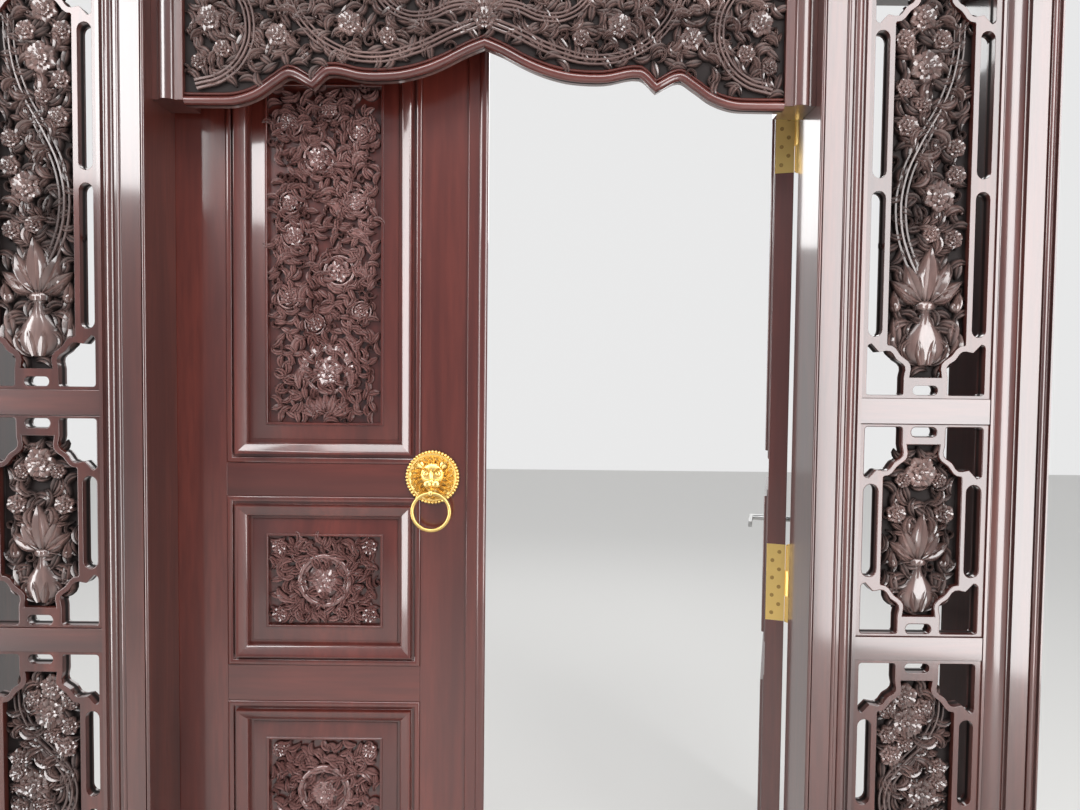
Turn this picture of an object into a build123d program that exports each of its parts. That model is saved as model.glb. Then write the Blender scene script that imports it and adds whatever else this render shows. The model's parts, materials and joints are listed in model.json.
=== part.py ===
from build123d import *
import math
import os

os.makedirs("parts", exist_ok=True)

# Axes: +X to the right, +Y into the house, +Z up. The origin is on the floor, in the
# middle of the doorway and of the posts' depth.

# Doorway and frame
opening_half_width = 635.0
opening_height = 2065.0
post_depth = 165.0
inner_post_width = 90.0
bay_width = 250.0
outer_post_width = 110.0
head_rail_height = 135.0
crown_height = 26.0
crown_overhang = 18.0
threshold_height = 30.0
threshold_chamfer = 8.0

# Mouldings worked on the posts: a roll rises to the face, a groove is sunk in it
groove_depth = 6.0
roll_depth = 8.0
arris_bead_width = 8.0
jamb_flat_width = 36.0
small_bead_width = 10.0
jamb_groove_width = 6.0
jamb_roll_width = 18.0
jamb_fillet_groove_width = 5.0
outer_groove_width = 5.0
outer_roll_width = 40.0
outer_band_width = 34.0
outer_bead_width = 13.0

# Side bays: pierced boards between plain rails
fret_setback = 10.0
fret_thickness = 28.0
fret_frame_bar = 12.0
fret_slot_width = 28.0
fret_slim_bar = 10.0
fret_edge_bar = 6.0
fret_end_margin = 117.0
fret_slot_web = 24.0
fret_corner_height = 96.0
fret_corner_width = 76.0
fret_arch_drop = 40.0
fret_arch_half_width = 35.0
fret_shoulder_drop = 92.0
fret_center_slot_length = 48.0
fret_center_slot_height = 19.0
fret_ground_depth = 9.0
fret_flower_radius = 28.0
fret_leaf_length = 62.0
fret_leaf_width = 25.0
vase_height = 60.0
vase_half_width = 25.0
vase_foot_gap = 8.0
bay_rail_setback = 8.0
bay_rail_thickness = 34.0
plinth_top = 150.0
lower_cross_rail_bottom = 748.0
lower_cross_rail_height = 46.0
upper_cross_rail_bottom = 1207.0
upper_cross_rail_height = 49.0

# Valance hung in the head of the doorway
valance_setback = 30.0
valance_thickness = 28.0
valance_ground_depth = 10.0
valance_height = 260.0
valance_rim_height = 19.0
valance_flower_radius = 29.0
valance_leaf_length = 46.0
valance_leaf_width = 24.0
valance_stem_length = 128.0
valance_stem_width = 16.0
valance_block_width = 60.0
valance_block_thickness = 80.0
valance_block_height = 253.0

# Door leaves
leaf_setback = 127.0
leaf_thickness = 38.0
leaf_side_gap = 3.0
leaf_rebate = 15.0
leaf_rebate_gap = 1.5
leaf_head_gap = 3.0
leaf_floor_gap = 5.0
meeting_gap = 3.0
hinge_stile_width = 114.0
meeting_stile_width = 130.5
top_rail_height = 102.0
lock_rail_top = 1106.0
lock_rail_bottom = 1037.0
middle_rail_top = 682.0
middle_rail_bottom = 606.0
bottom_rail_top = 214.0
groove_bottom_depth = 11.0
panel_tongue = 10.0
panel_groove_setback = 12.0
panel_groove_width = 16.0
tenon_length = 40.0
mortise_end_gap = 1.0
haunch = 11.0
astragal_width = 41.0
astragal_thickness = 12.0
astragal_overlap = 4.0

# Panel mouldings and raised fields
moulding_width = 42.0
moulding_bead_width = 12.0
moulding_bead_rise = 4.0
moulding_groove_width = 6.0
moulding_groove_depth = 3.0
moulding_roll_rise = 10.0
bevel_inset = 49.0
bevel_width = 30.0
bevel_rise = 8.0
bevel_step = 1.0
field_bead_width = 5.0
field_bead_rise = 3.0
carving_ground_depth = 7.0
carving_rise = 9.0
panel_flower_radius = 40.0
panel_leaf_length = 62.0
panel_leaf_width = 30.0
ring_medallion_radius = 51.0
ring_medallion_width = 12.0
medallion_leaf_gap = 3.0

# Butt hinges, three to a leaf
hinge_height = 165.0
hinge_plate_width = 38.0
hinge_plate_thickness = 2.5
hinge_barrel_radius = 6.5
hinge_pin_radius = 3.0
hinge_pin_clearance = 0.08
hinge_standoff = 0.6
hinge_knuckle_gap = 0.4
hinge_pin_end = 2.0
lower_hinge_height = 230.0
middle_hinge_height = 853.0
upper_hinge_drop = 258.0
leaf_open_angle = 107.0

# Pull with its ring on the left leaf
pull_x = -107.0
pull_z = 1080.0
pull_plate_radius = 51.0
pull_petal_rise = 6.5
pull_petal_count = 10
pull_boss_radius = 32.0
pull_plate_standoff = 4.4
pull_plate_thickness = 5.0
pull_head_radius = 21.0
pull_mane_radius = 36.0
pull_muzzle_width = 22.0
pull_muzzle_height = 18.0
pull_head_rise = 13.0
pull_head_chamfer = 6.0
pull_axis_drop = 30.0
pull_axis_front = 27.0
ring_outer_diameter = 84.0
ring_tube_diameter = 7.5
ring_clearance = 0.8
lug_width = 9.0
lug_wall = 3.0

# Lever lock on the right leaf
lever_z = 890.0
lever_backset = 66.0
handle_plate_width = 40.0
handle_plate_height = 200.0
handle_plate_thickness = 3.0
lever_reach = 55.0
lever_length = 115.0
lever_radius = 8.0
lever_arm_thickness = 9.0
lever_arm_width = 15.0
spindle_size = 8.0
spindle_clearance = 0.3
lock_case_width = 86.0
lock_case_height = 150.0
lock_case_thickness = 16.0

# Sliding bolts let into the back of the left leaf
bolt_radius = 5.0
bolt_clearance = 0.4
bolt_backset = 26.0
bolt_length = 220.0
bolt_throw = 20.0
bolt_setback = 12.0
bolt_plate_thickness = 3.0
bolt_plate_width = 22.0
bolt_plate_length = 180.0
bolt_plate_end = 20.0
bolt_knob_radius = 3.5
bolt_knob_height = 11.0
bolt_socket_depth = 26.0

# Places worked out from the sizes above
frame_front = -post_depth / 2
frame_back = post_depth / 2
fret_front = frame_front + fret_setback
valance_front = frame_front + valance_setback
leaf_front = frame_front + leaf_setback
inner_post_outer_x = opening_half_width + inner_post_width
outer_post_inner_x = inner_post_outer_x + bay_width
frame_half_width = outer_post_inner_x + outer_post_width
bay_center_x = (inner_post_outer_x + outer_post_inner_x) / 2
lower_cross_rail_top = lower_cross_rail_bottom + lower_cross_rail_height
upper_cross_rail_top = upper_cross_rail_bottom + upper_cross_rail_height
leaf_back = leaf_front + leaf_thickness
jamb_face_x = -opening_half_width - leaf_rebate
leaf_hinge_x = jamb_face_x + leaf_side_gap
leaf_meeting_x = -meeting_gap / 2
leaf_bottom = threshold_height + leaf_floor_gap
leaf_top = opening_height - leaf_head_gap
panel_top = leaf_top - top_rail_height
panel_left = leaf_hinge_x + hinge_stile_width
panel_right = leaf_meeting_x - meeting_stile_width
groove_front = leaf_front + panel_groove_setback
hinge_centers = (lower_hinge_height, middle_hinge_height, opening_height - upper_hinge_drop)
hinge_x = jamb_face_x + leaf_side_gap / 2
hinge_y = leaf_back + hinge_standoff + hinge_barrel_radius


def write_piece(piece, name):
    piece.part.label = name
    export_step(piece.part, f"parts/{name}.step")


def front_plane(x, y, z):
    # A plane that faces the viewer: its own y is up, and it extrudes towards the viewer.
    return Plane(origin=(x, y, z), x_dir=(1, 0, 0), z_dir=(0, -1, 0))


def write_both_sides(left_piece, stem):
    # The right side of the frame is the mirror image of the left.
    write_piece(left_piece, f"left_{stem}")
    with BuildPart() as right_piece:
        mirror(left_piece.part, about=Plane.YZ)
    write_piece(right_piece, f"right_{stem}")


# Posts

def sink_groove(start, width):
    # A square groove in the front edge of the profile being drawn.
    with Locations((start + width / 2, frame_front)):
        Rectangle(width, 2 * groove_depth, mode=Mode.SUBTRACT)


def half_round(start, width, base, rise, facets=6):
    # Points along a half-round form, drawn with few facets so that the part stays light.
    points = []
    for step in range(facets + 1):
        angle = math.pi * step / facets
        points.append((start + width / 2 * (1 - math.cos(angle)), base + rise * math.sin(angle)))
    return points


def round_roll(start, width):
    # A roll worked in the face, level with it at its crown.
    sink = min(roll_depth, width / 2)
    with Locations((start + width / 2, frame_front)):
        Rectangle(width, 2 * sink, mode=Mode.SUBTRACT)
    facets = 4 if width < jamb_roll_width else 6
    Polygon(*half_round(start, width, frame_front + sink, -sink, facets), align=None)


def round_prism(plane, radius, length, facets=10, mode=Mode.ADD, inside=False):
    # A round bar or hole along the plane's normal; a hole's flats touch its radius.
    with BuildSketch(plane) as section:
        RegularPolygon(radius, facets, major_radius=not inside)
    extrude(section.sketch, amount=length, mode=mode)


with BuildPart() as left_inner_post:
    with BuildSketch() as inner_profile:
        with Locations((-inner_post_outer_x, frame_front)):
            Rectangle(inner_post_width, post_depth, align=(Align.MIN, Align.MIN))
        edge = -opening_half_width - arris_bead_width
        round_roll(edge, arris_bead_width)
        edge = edge - jamb_flat_width - small_bead_width
        round_roll(edge, small_bead_width)
        edge = edge - jamb_groove_width
        sink_groove(edge, jamb_groove_width)
        edge = edge - jamb_roll_width
        round_roll(edge, jamb_roll_width)
        edge = edge - jamb_fillet_groove_width
        sink_groove(edge, jamb_fillet_groove_width)
    extrude(amount=opening_height)
    # The rebate that the leaf shuts into, with recesses for the three hinge plates
    with Locations((-opening_half_width, leaf_front - leaf_rebate_gap, threshold_height)):
        Box(leaf_rebate, leaf_thickness + leaf_rebate_gap, opening_height - threshold_height,
            align=(Align.MAX, Align.MIN, Align.MIN), mode=Mode.SUBTRACT)
    for hinge_z in hinge_centers:
        with Locations((jamb_face_x, leaf_back, hinge_z)):
            Box(hinge_plate_thickness, hinge_plate_width, hinge_height,
                align=(Align.MAX, Align.MAX, Align.CENTER), mode=Mode.SUBTRACT)
write_both_sides(left_inner_post, "inner_post")

with BuildPart() as left_outer_post:
    with BuildSketch() as outer_profile:
        with Locations((-frame_half_width, frame_front)):
            Rectangle(outer_post_width, post_depth, align=(Align.MIN, Align.MIN))
        edge = -outer_post_inner_x - outer_groove_width
        sink_groove(edge, outer_groove_width)
        edge = edge - outer_roll_width
        round_roll(edge, outer_roll_width)
        edge = edge - outer_groove_width
        sink_groove(edge, outer_groove_width)
        edge = edge - outer_band_width - outer_groove_width
        sink_groove(edge, outer_groove_width)
        edge = edge - outer_bead_width
        round_roll(edge, outer_bead_width)
        edge = edge - outer_groove_width
        sink_groove(edge, outer_groove_width)
    extrude(amount=opening_height)
write_both_sides(left_outer_post, "outer_post")

# Head rail over the whole width, with a small crown moulding, and the low threshold
bolt_x = leaf_meeting_x - bolt_backset
bolt_y = leaf_back - bolt_setback


def cut_bolt_socket(face_z, into_wood):
    # The square hole that a sliding bolt shoots into.
    socket_width = 2 * (bolt_radius + bolt_clearance)
    with Locations((bolt_x, bolt_y, face_z)):
        Box(socket_width, socket_width, bolt_socket_depth,
            align=(Align.CENTER, Align.CENTER, into_wood), mode=Mode.SUBTRACT)


with BuildPart() as head_rail:
    with BuildSketch(Plane.YZ.offset(-frame_half_width)) as head_profile:
        with BuildLine():
            crown_bottom = opening_height + head_rail_height - crown_height
            head_top = opening_height + head_rail_height
            crown_front = frame_front - crown_overhang
            fascia = head_top - crown_height / 3
            Polyline((frame_front, crown_bottom), (frame_front, opening_height),
                     (frame_back, opening_height), (frame_back, head_top),
                     (crown_front, head_top), (crown_front, fascia))
            ThreePointArc((crown_front, fascia),
                          (crown_front + crown_overhang * 0.55, crown_bottom + crown_height * 0.25),
                          (frame_front, crown_bottom))
        make_face()
    extrude(amount=2 * frame_half_width)
    cut_bolt_socket(opening_height, Align.MIN)
write_piece(head_rail, "head_rail")

with BuildPart() as threshold:
    Box(2 * opening_half_width, post_depth, threshold_height,
        align=(Align.CENTER, Align.CENTER, Align.MIN))
    front_edge = threshold.edges().filter_by(Axis.X).sort_by(Axis.Y)[:2].sort_by(Axis.Z)[-1]
    chamfer(front_edge, threshold_chamfer)
    cut_bolt_socket(threshold_height, Align.MAX)
write_piece(threshold, "threshold")


# Rails of the side bays

def bay_rail(bottom, height):
    with BuildPart() as rail:
        with Locations((-bay_center_x, frame_front + bay_rail_setback, bottom)):
            Box(bay_width, bay_rail_thickness, height, align=(Align.CENTER, Align.MIN, Align.MIN))
    return rail


write_both_sides(bay_rail(0, plinth_top), "plinth_rail")
write_both_sides(bay_rail(lower_cross_rail_bottom, lower_cross_rail_height), "lower_cross_rail")
write_both_sides(bay_rail(upper_cross_rail_bottom, upper_cross_rail_height), "upper_cross_rail")


# Carved motifs: each is a faceted form that rises from the ground of its board
carving_root = 1.0


def facet_form(ground, x, y, turn, outline, peak):
    # A closed form over outline, whose flanks meet at peak, rooted just inside the ground.
    rim = [Vector(px, py, -carving_root) for px, py in outline]
    top = Vector(*peak)
    faces = [Face(Wire.make_polygon([rim[number - 1], rim[number], top]))
             for number in range(len(rim))]
    faces.append(Face(Wire.make_polygon(rim)))
    form = Solid(Shell(faces))
    return form.moved(ground.location * Location((x, y, 0), (0, 0, turn)))


def carved_leaf(ground, x, y, length, turn, width, rise):
    # Springs from x, y and points along turn, in degrees from the ground's own x.
    belly = length * 0.4
    outline = [(0, 0), (belly, -width / 2), (length, 0), (belly, width / 2)]
    return facet_form(ground, x, y, turn, outline, (belly, 0, rise))


def carved_flower(ground, x, y, radius, rise, petals=5):
    # A star of broad petals that rise to the eye of the flower.
    outline = []
    for step in range(2 * petals):
        reach = radius if step % 2 == 0 else radius * 0.62
        angle = math.pi * step / petals
        outline.append((reach * math.cos(angle), reach * math.sin(angle)))
    return facet_form(ground, x, y, 0, outline, (0, 0, rise))


def leaf_fan(ground, x, y, reach, turns, length, width, rise):
    # Leaves that spring from a circle of radius reach round x, y.
    fan = []
    for turn in turns:
        angle = math.radians(turn)
        fan.append(carved_leaf(ground, x + reach * math.cos(angle), y + reach * math.sin(angle),
                               length, turn, width, rise))
    return fan


def vase_outline(base):
    # A gourd body on a small foot, with a collar and an open mouth, in shares of its size.
    half = [(0, 0), (0.45, 0), (0.35, 0.12), (1, 0.45), (0.36, 0.86), (0.68, 1), (0, 1)]
    for side in (-1, 1):
        Polygon(*[(side * vase_half_width * px, base + vase_height * py) for px, py in half],
                align=None)


def pierce_corner(across, up, half_height):
    # The opening between the square corner of the board and the field's shoulder.
    outer_x = across * (bay_width / 2 - fret_frame_bar)
    inner_x = across * (bay_width / 2 - fret_frame_bar - fret_corner_width)
    slim_x = across * (bay_width / 2 - fret_frame_bar - fret_slot_width)
    outer_y = up * (half_height - fret_edge_bar)
    inner_y = up * (half_height - fret_edge_bar - fret_corner_height)
    arch_y = up * (half_height - fret_arch_drop + fret_slim_bar)
    shoulder_y = up * (half_height - fret_shoulder_drop + fret_slim_bar / 2)
    Polygon((outer_x, inner_y), (outer_x, outer_y), (inner_x, outer_y), (inner_x, arch_y),
            (slim_x, shoulder_y), (slim_x, inner_y), align=None, mode=Mode.SUBTRACT)


def slot_outline(length, width):
    # An upright slot with rounded ends.
    straight = (length - width) / 2
    head = half_round(-width / 2, width, straight, width / 2, 3)
    return head + [(-px, -py) for px, py in head]


def fretwork_board(bottom, top, slots):
    # A board of the bay's width, pierced round a central field sunk for the carving.
    height = top - bottom
    half_height = height / 2
    slot_x = bay_width / 2 - fret_frame_bar - fret_slot_width / 2
    run = height - 2 * fret_end_margin
    slot_length = (run - (slots - 1) * fret_slot_web) / slots
    face_plane = front_plane(-bay_center_x, fret_front, (bottom + top) / 2)
    center_slot_y = half_height - fret_edge_bar - fret_center_slot_height / 2
    with BuildSketch(face_plane) as pierced:
        Rectangle(bay_width, height)
        for number in range(slots):
            slot_y = -run / 2 + slot_length / 2 + number * (slot_length + fret_slot_web)
            with Locations((slot_x, slot_y), (-slot_x, slot_y)):
                Polygon(*slot_outline(slot_length, fret_slot_width), align=None,
                        mode=Mode.SUBTRACT)
        with Locations((0, center_slot_y), (0, -center_slot_y)):
            Rectangle(fret_center_slot_length, fret_center_slot_height, mode=Mode.SUBTRACT)
        for across in (-1, 1):
            for up in (-1, 1):
                pierce_corner(across, up, half_height)
    extrude(pierced.sketch, amount=-fret_thickness)
    field_x = bay_width / 2 - fret_frame_bar - fret_slot_width - fret_slim_bar
    arch_y = half_height - fret_arch_drop
    shoulder_y = half_height - fret_shoulder_drop
    with BuildSketch(face_plane) as field:
        Polygon((-field_x, -shoulder_y), (-fret_arch_half_width, -arch_y),
                (fret_arch_half_width, -arch_y), (field_x, -shoulder_y), (field_x, shoulder_y),
                (fret_arch_half_width, arch_y), (-fret_arch_half_width, arch_y),
                (-field_x, shoulder_y), align=None)
    extrude(field.sketch, amount=-fret_ground_depth, mode=Mode.SUBTRACT)
    return half_height


fret_rise = fret_ground_depth + carving_root


def vase_leaves(ground, half_height):
    # The vase stands at the foot of the field, with a lotus over it and leaves at its sides.
    foot = -half_height + fret_arch_drop + vase_foot_gap
    mouth = foot + vase_height
    length = fret_leaf_length * 0.75
    width = fret_leaf_width * 0.75
    leaves = [carved_leaf(ground, 0, mouth, length, 90, width, fret_rise)]
    for sign in (-1, 1):
        base = 90 - 90 * sign
        spring = sign * vase_half_width
        leaves.append(carved_leaf(ground, spring * 0.5, mouth, length, base + sign * 50, width,
                                  fret_rise))
        leaves.append(carved_leaf(ground, spring, mouth - vase_height * 0.5, length,
                                  base + sign * 40, width, fret_rise))
    return leaves


def swaying_stem(ground, half_height):
    # Leaves and flowers on a stem that sways from side to side up the field.
    start = -half_height + fret_arch_drop + vase_foot_gap + vase_height + fret_leaf_length
    finish = half_height - fret_arch_drop - vase_foot_gap
    spacing = 4.3 * fret_flower_radius
    count = int((finish - start) / spacing)
    side = bay_width * 0.15
    carving = []
    for step in range(count):
        y = start + (step + 0.5) * (finish - start) / count
        sign = 1 if step % 2 == 0 else -1
        carving.append(carved_flower(ground, sign * side, y, fret_flower_radius, fret_rise))
        carving.append(carved_leaf(ground, 0, y - spacing / 3, fret_leaf_length, 90 + sign * 48,
                                   fret_leaf_width, fret_rise))
        carving.append(carved_leaf(ground, 0, y + spacing / 6, fret_leaf_length, 90 + sign * 80,
                                   fret_leaf_width, fret_rise))
    return carving


def crowning_flower(ground, half_height):
    # The short field ends in one flower under the arch, with leaves that lean on it.
    y = half_height - fret_arch_drop - fret_leaf_length * 0.8
    side = fret_flower_radius
    carving = [carved_flower(ground, 0, y, fret_flower_radius, fret_rise)]
    for sign in (-1, 1):
        carving.append(carved_leaf(ground, sign * side * 1.2, y - side, fret_leaf_length,
                                   90 - sign * 16, fret_leaf_width, fret_rise))
        carving.append(carved_leaf(ground, sign * side * 0.4, y - 2.6 * side, fret_leaf_length,
                                   90 - sign * 44, fret_leaf_width, fret_rise))
    return carving


def fretwork_panel(bottom, top, slots, name):
    with BuildPart() as panel:
        half_height = fretwork_board(bottom, top, slots)
        ground = front_plane(-bay_center_x, fret_front + fret_ground_depth, (bottom + top) / 2)
        with BuildSketch(ground) as vase:
            vase_outline(-half_height + fret_arch_drop + vase_foot_gap)
        extrude(amount=fret_rise)
        add(vase_leaves(ground, half_height))
        if slots > 1:
            add(swaying_stem(ground, half_height))
        else:
            add(crowning_flower(ground, half_height))
    write_both_sides(panel, name)


fretwork_panel(plinth_top, lower_cross_rail_bottom, 2, "lower_fretwork")
fretwork_panel(lower_cross_rail_top, upper_cross_rail_bottom, 1, "middle_fretwork")
fretwork_panel(upper_cross_rail_top, opening_height, 2, "upper_fretwork")

# Valance: a board with a scalloped lower rim, carved above it
valance_half_width = opening_half_width - valance_block_width


# The rim's wave from the middle peak outwards: shares of the half width and of the height
valance_wave = [(0, 0.555), (0.06, 0.61), (0.14, 0.7), (0.21, 0.76), (0.29, 0.8), (0.4, 0.808),
                (0.52, 0.77), (0.55, 0.79), (0.574, 0.87), (0.6, 0.81), (0.65, 0.79),
                (0.7, 0.85), (0.76, 0.94), (0.83, 1)]


def valance_outline(lift):
    # The board's face with its rim raised by lift.
    half = [(valance_half_width * px, opening_height + lift - valance_height * py)
            for px, py in valance_wave]
    half.append((valance_half_width, opening_height + lift - valance_height))
    half.append((valance_half_width, opening_height))
    Polygon(*half, *[(-px, py) for px, py in reversed(half)][:-1], align=None)


def valance_carving(ground):
    # A peak flower, bundles of long stems that sweep out from it, and flowers among leaves.
    rise = valance_ground_depth
    middle_z = opening_height - valance_height * 0.4
    length = valance_leaf_length
    width = valance_leaf_width
    peak_z = opening_height - valance_height * 0.3
    carving = [carved_flower(ground, 0, peak_z, valance_flower_radius, rise, 6)]
    for sign in (-1, 1):
        base = 90 - 90 * sign
        for row in range(3):
            start_z = peak_z - valance_stem_width + row * valance_stem_width * 1.1
            carving.append(carved_leaf(ground, sign * valance_flower_radius * 1.1, start_z,
                                       valance_stem_length, base - sign * (22 - 14 * row),
                                       valance_stem_width, rise))
        for number in range(4):
            x = sign * valance_half_width * (0.34 + number * 0.178)
            z = middle_z - valance_height * 0.08 * (number % 2)
            carving.append(carved_flower(ground, x, z, valance_flower_radius, rise))
            bearings = (30, 150, 270) if number % 2 == 0 else (210, 330)
            carving += leaf_fan(ground, x, z, valance_flower_radius * 1.2, bearings, length,
                                width, rise)
    return carving


with BuildPart() as valance_board:
    with BuildSketch(front_plane(0, valance_front, 0)) as valance_face:
        valance_outline(0)
    extrude(amount=-valance_thickness)
    with BuildSketch(front_plane(0, valance_front, 0)) as valance_ground:
        valance_outline(valance_rim_height)
    extrude(amount=-valance_ground_depth, mode=Mode.SUBTRACT)
    add(valance_carving(front_plane(0, valance_front + valance_ground_depth, 0)))
write_piece(valance_board, "valance_board")

with BuildPart() as left_valance_block:
    with BuildSketch(Plane.XY.offset(opening_height - valance_block_height)) as block_profile:
        with Locations((-opening_half_width, valance_front)):
            Rectangle(valance_block_width, valance_block_thickness, align=(Align.MIN, Align.MIN))
        roll_start = -opening_half_width + valance_block_width * 0.22
        roll_end = -opening_half_width + valance_block_width * 0.72
        Polygon(*half_round(roll_start, roll_end - roll_start, valance_front, -roll_depth),
                align=None)
    extrude(amount=valance_block_height)
write_both_sides(left_valance_block, "valance_block")

# Door leaves: each piece is made for the left leaf, closed. The right leaf is its mirror
# image, standing open by leaf_open_angle about its own hinge line.
right_hinge_line = Axis((-hinge_x, hinge_y, 0), (0, 0, 1))


def write_right_leaf_piece(left_piece, name):
    with BuildPart() as closed_piece:
        mirror(left_piece.part, about=Plane.YZ)
    with BuildPart() as open_piece:
        add(closed_piece.part.rotate(right_hinge_line, -leaf_open_angle))
    write_piece(open_piece, name)


def write_both_leaves(left_piece, stem):
    write_piece(left_piece, f"left_{stem}")
    write_right_leaf_piece(left_piece, f"right_{stem}")


rail_spans = {
    "bottom_rail": (leaf_bottom, bottom_rail_top),
    "middle_rail": (middle_rail_bottom, middle_rail_top),
    "lock_rail": (lock_rail_bottom, lock_rail_top),
    "top_rail": (panel_top, leaf_top),
}
panel_spans = {
    "lower": (bottom_rail_top, middle_rail_bottom),
    "middle": (middle_rail_top, lock_rail_bottom),
    "upper": (lock_rail_top, panel_top),
}


def cut_stile_joints(inner_edge):
    # The panel groove down the stile's inner edge, and a mortise for each rail's tenon.
    with Locations((inner_edge, groove_front, (bottom_rail_top + panel_top) / 2)):
        Box(2 * groove_bottom_depth, panel_groove_width, panel_top - bottom_rail_top + 2 * haunch,
            align=(Align.CENTER, Align.MIN, Align.CENTER), mode=Mode.SUBTRACT)
    for low, high in rail_spans.values():
        with Locations((inner_edge, groove_front, (low + high) / 2)):
            Box(2 * (tenon_length + mortise_end_gap), panel_groove_width, high - low - 2 * haunch,
                align=(Align.CENTER, Align.MIN, Align.CENTER), mode=Mode.SUBTRACT)


with BuildPart() as hinge_stile:
    with Locations((leaf_hinge_x, leaf_front, leaf_bottom)):
        Box(hinge_stile_width, leaf_thickness, leaf_top - leaf_bottom,
            align=(Align.MIN, Align.MIN, Align.MIN))
    cut_stile_joints(panel_left)
    for hinge_z in hinge_centers:
        with Locations((leaf_hinge_x, leaf_back, hinge_z)):
            Box(hinge_plate_thickness, hinge_plate_width, hinge_height,
                align=(Align.MIN, Align.MAX, Align.CENTER), mode=Mode.SUBTRACT)
write_both_leaves(hinge_stile, "hinge_stile")

with BuildPart() as plain_meeting_stile:
    with Locations((leaf_meeting_x, leaf_front, leaf_bottom)):
        Box(meeting_stile_width, leaf_thickness, leaf_top - leaf_bottom,
            align=(Align.MAX, Align.MIN, Align.MIN))
    cut_stile_joints(panel_right)

bolt_channel_length = bolt_length + 2 * bolt_throw
bolt_channel_depth = bolt_setback + bolt_radius + bolt_clearance
with BuildPart() as left_meeting_stile:
    add(plain_meeting_stile.part)
    for end_z, away in ((leaf_top, Align.MAX), (leaf_bottom, Align.MIN)):
        with Locations((bolt_x, leaf_back, end_z)):
            Box(2 * (bolt_radius + bolt_clearance), bolt_channel_depth, bolt_channel_length,
                align=(Align.CENTER, Align.MAX, away), mode=Mode.SUBTRACT)
    for sign, end_z in ((-1, leaf_top), (1, leaf_bottom)):
        with Locations((bolt_x, leaf_back, end_z + sign * (bolt_plate_end + bolt_plate_length / 2))):
            Box(bolt_plate_width, bolt_plate_thickness, bolt_plate_length,
                align=(Align.CENTER, Align.MAX, Align.CENTER), mode=Mode.SUBTRACT)
write_piece(left_meeting_stile, "left_meeting_stile")

leaf_middle = (leaf_front + leaf_back) / 2
lever_x = leaf_meeting_x - lever_backset
spindle_hole_reach = leaf_thickness / 2 + 2 * handle_plate_thickness


def cut_spindle_hole():
    # The round hole that the levers' necks turn in, right through the leaf.
    round_prism(front_plane(lever_x, leaf_middle + spindle_hole_reach, lever_z),
                lever_radius + spindle_clearance, 2 * spindle_hole_reach, 8, Mode.SUBTRACT, True)


with BuildPart() as lock_meeting_stile:
    add(plain_meeting_stile.part)
    with Locations((leaf_meeting_x, leaf_middle, lever_z)):
        Box(lock_case_width, lock_case_thickness, lock_case_height,
            align=(Align.MAX, Align.CENTER, Align.CENTER), mode=Mode.SUBTRACT)
    cut_spindle_hole()
write_right_leaf_piece(lock_meeting_stile, "right_meeting_stile")

for rail_name, (low, high) in rail_spans.items():
    with BuildPart() as rail:
        with Locations(((panel_left + panel_right) / 2, leaf_front, (low + high) / 2)):
            Box(panel_right - panel_left, leaf_thickness, high - low,
                align=(Align.CENTER, Align.MIN, Align.CENTER))
        with Locations(((panel_left + panel_right) / 2, groove_front, (low + high) / 2)):
            Box(panel_right - panel_left + 2 * tenon_length, panel_groove_width,
                high - low - 2 * haunch, align=(Align.CENTER, Align.MIN, Align.CENTER))
        # Grooves for the panels above and below this rail
        for panel_edge in (low, high):
            if leaf_bottom < panel_edge < leaf_top:
                with Locations(((panel_left + panel_right) / 2, groove_front, panel_edge)):
                    Box(panel_right - panel_left, panel_groove_width, 2 * groove_bottom_depth,
                        align=(Align.CENTER, Align.MIN, Align.CENTER), mode=Mode.SUBTRACT)
    write_both_leaves(rail, rail_name)

panel_width = panel_right - panel_left
panel_center_x = (panel_left + panel_right) / 2
field_inset = bevel_inset + bevel_width


def ring_medallion(ground):
    # A small flower inside a plain ring, with leaves fanned about it.
    inner_radius = ring_medallion_radius - ring_medallion_width
    with BuildSketch(ground) as ring:
        RegularPolygon(ring_medallion_radius, 8)
        RegularPolygon(inner_radius, 8, mode=Mode.SUBTRACT)
    extrude(ring.sketch, amount=carving_rise)
    reach = ring_medallion_radius + medallion_leaf_gap
    add(carved_flower(ground, 0, 0, inner_radius * 0.85, carving_rise))
    add(leaf_fan(ground, 0, 0, reach, range(0, 360, 90), panel_leaf_length * 0.6,
                 panel_leaf_width, carving_rise))
    add(leaf_fan(ground, 0, 0, reach, range(45, 360, 90), panel_leaf_length * 0.9,
                 panel_leaf_width, carving_rise))


def scroll_field(ground, half_width, half_height):
    # Flowers in a zigzag up the field, each with curling leaves, and a shell at the foot.
    count = 4
    shell_height = panel_leaf_length * 1.4
    spacing = (2 * half_height - shell_height) / count
    add(leaf_fan(ground, 0, -half_height + panel_leaf_width / 2, panel_leaf_width / 2,
                 range(30, 151, 40), panel_leaf_length, panel_leaf_width, carving_rise))
    for number in range(count):
        y = -half_height + shell_height + spacing * (number + 0.4)
        sign = 1 if number % 2 == 0 else -1
        side = sign * half_width * 0.4
        bearings = [turn if sign == 1 else 180 - turn for turn in (110, 190, 250)]
        add(carved_flower(ground, side, y, panel_flower_radius, carving_rise))
        add(leaf_fan(ground, side, y, panel_flower_radius + medallion_leaf_gap, bearings,
                     panel_leaf_length, panel_leaf_width, carving_rise))


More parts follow.
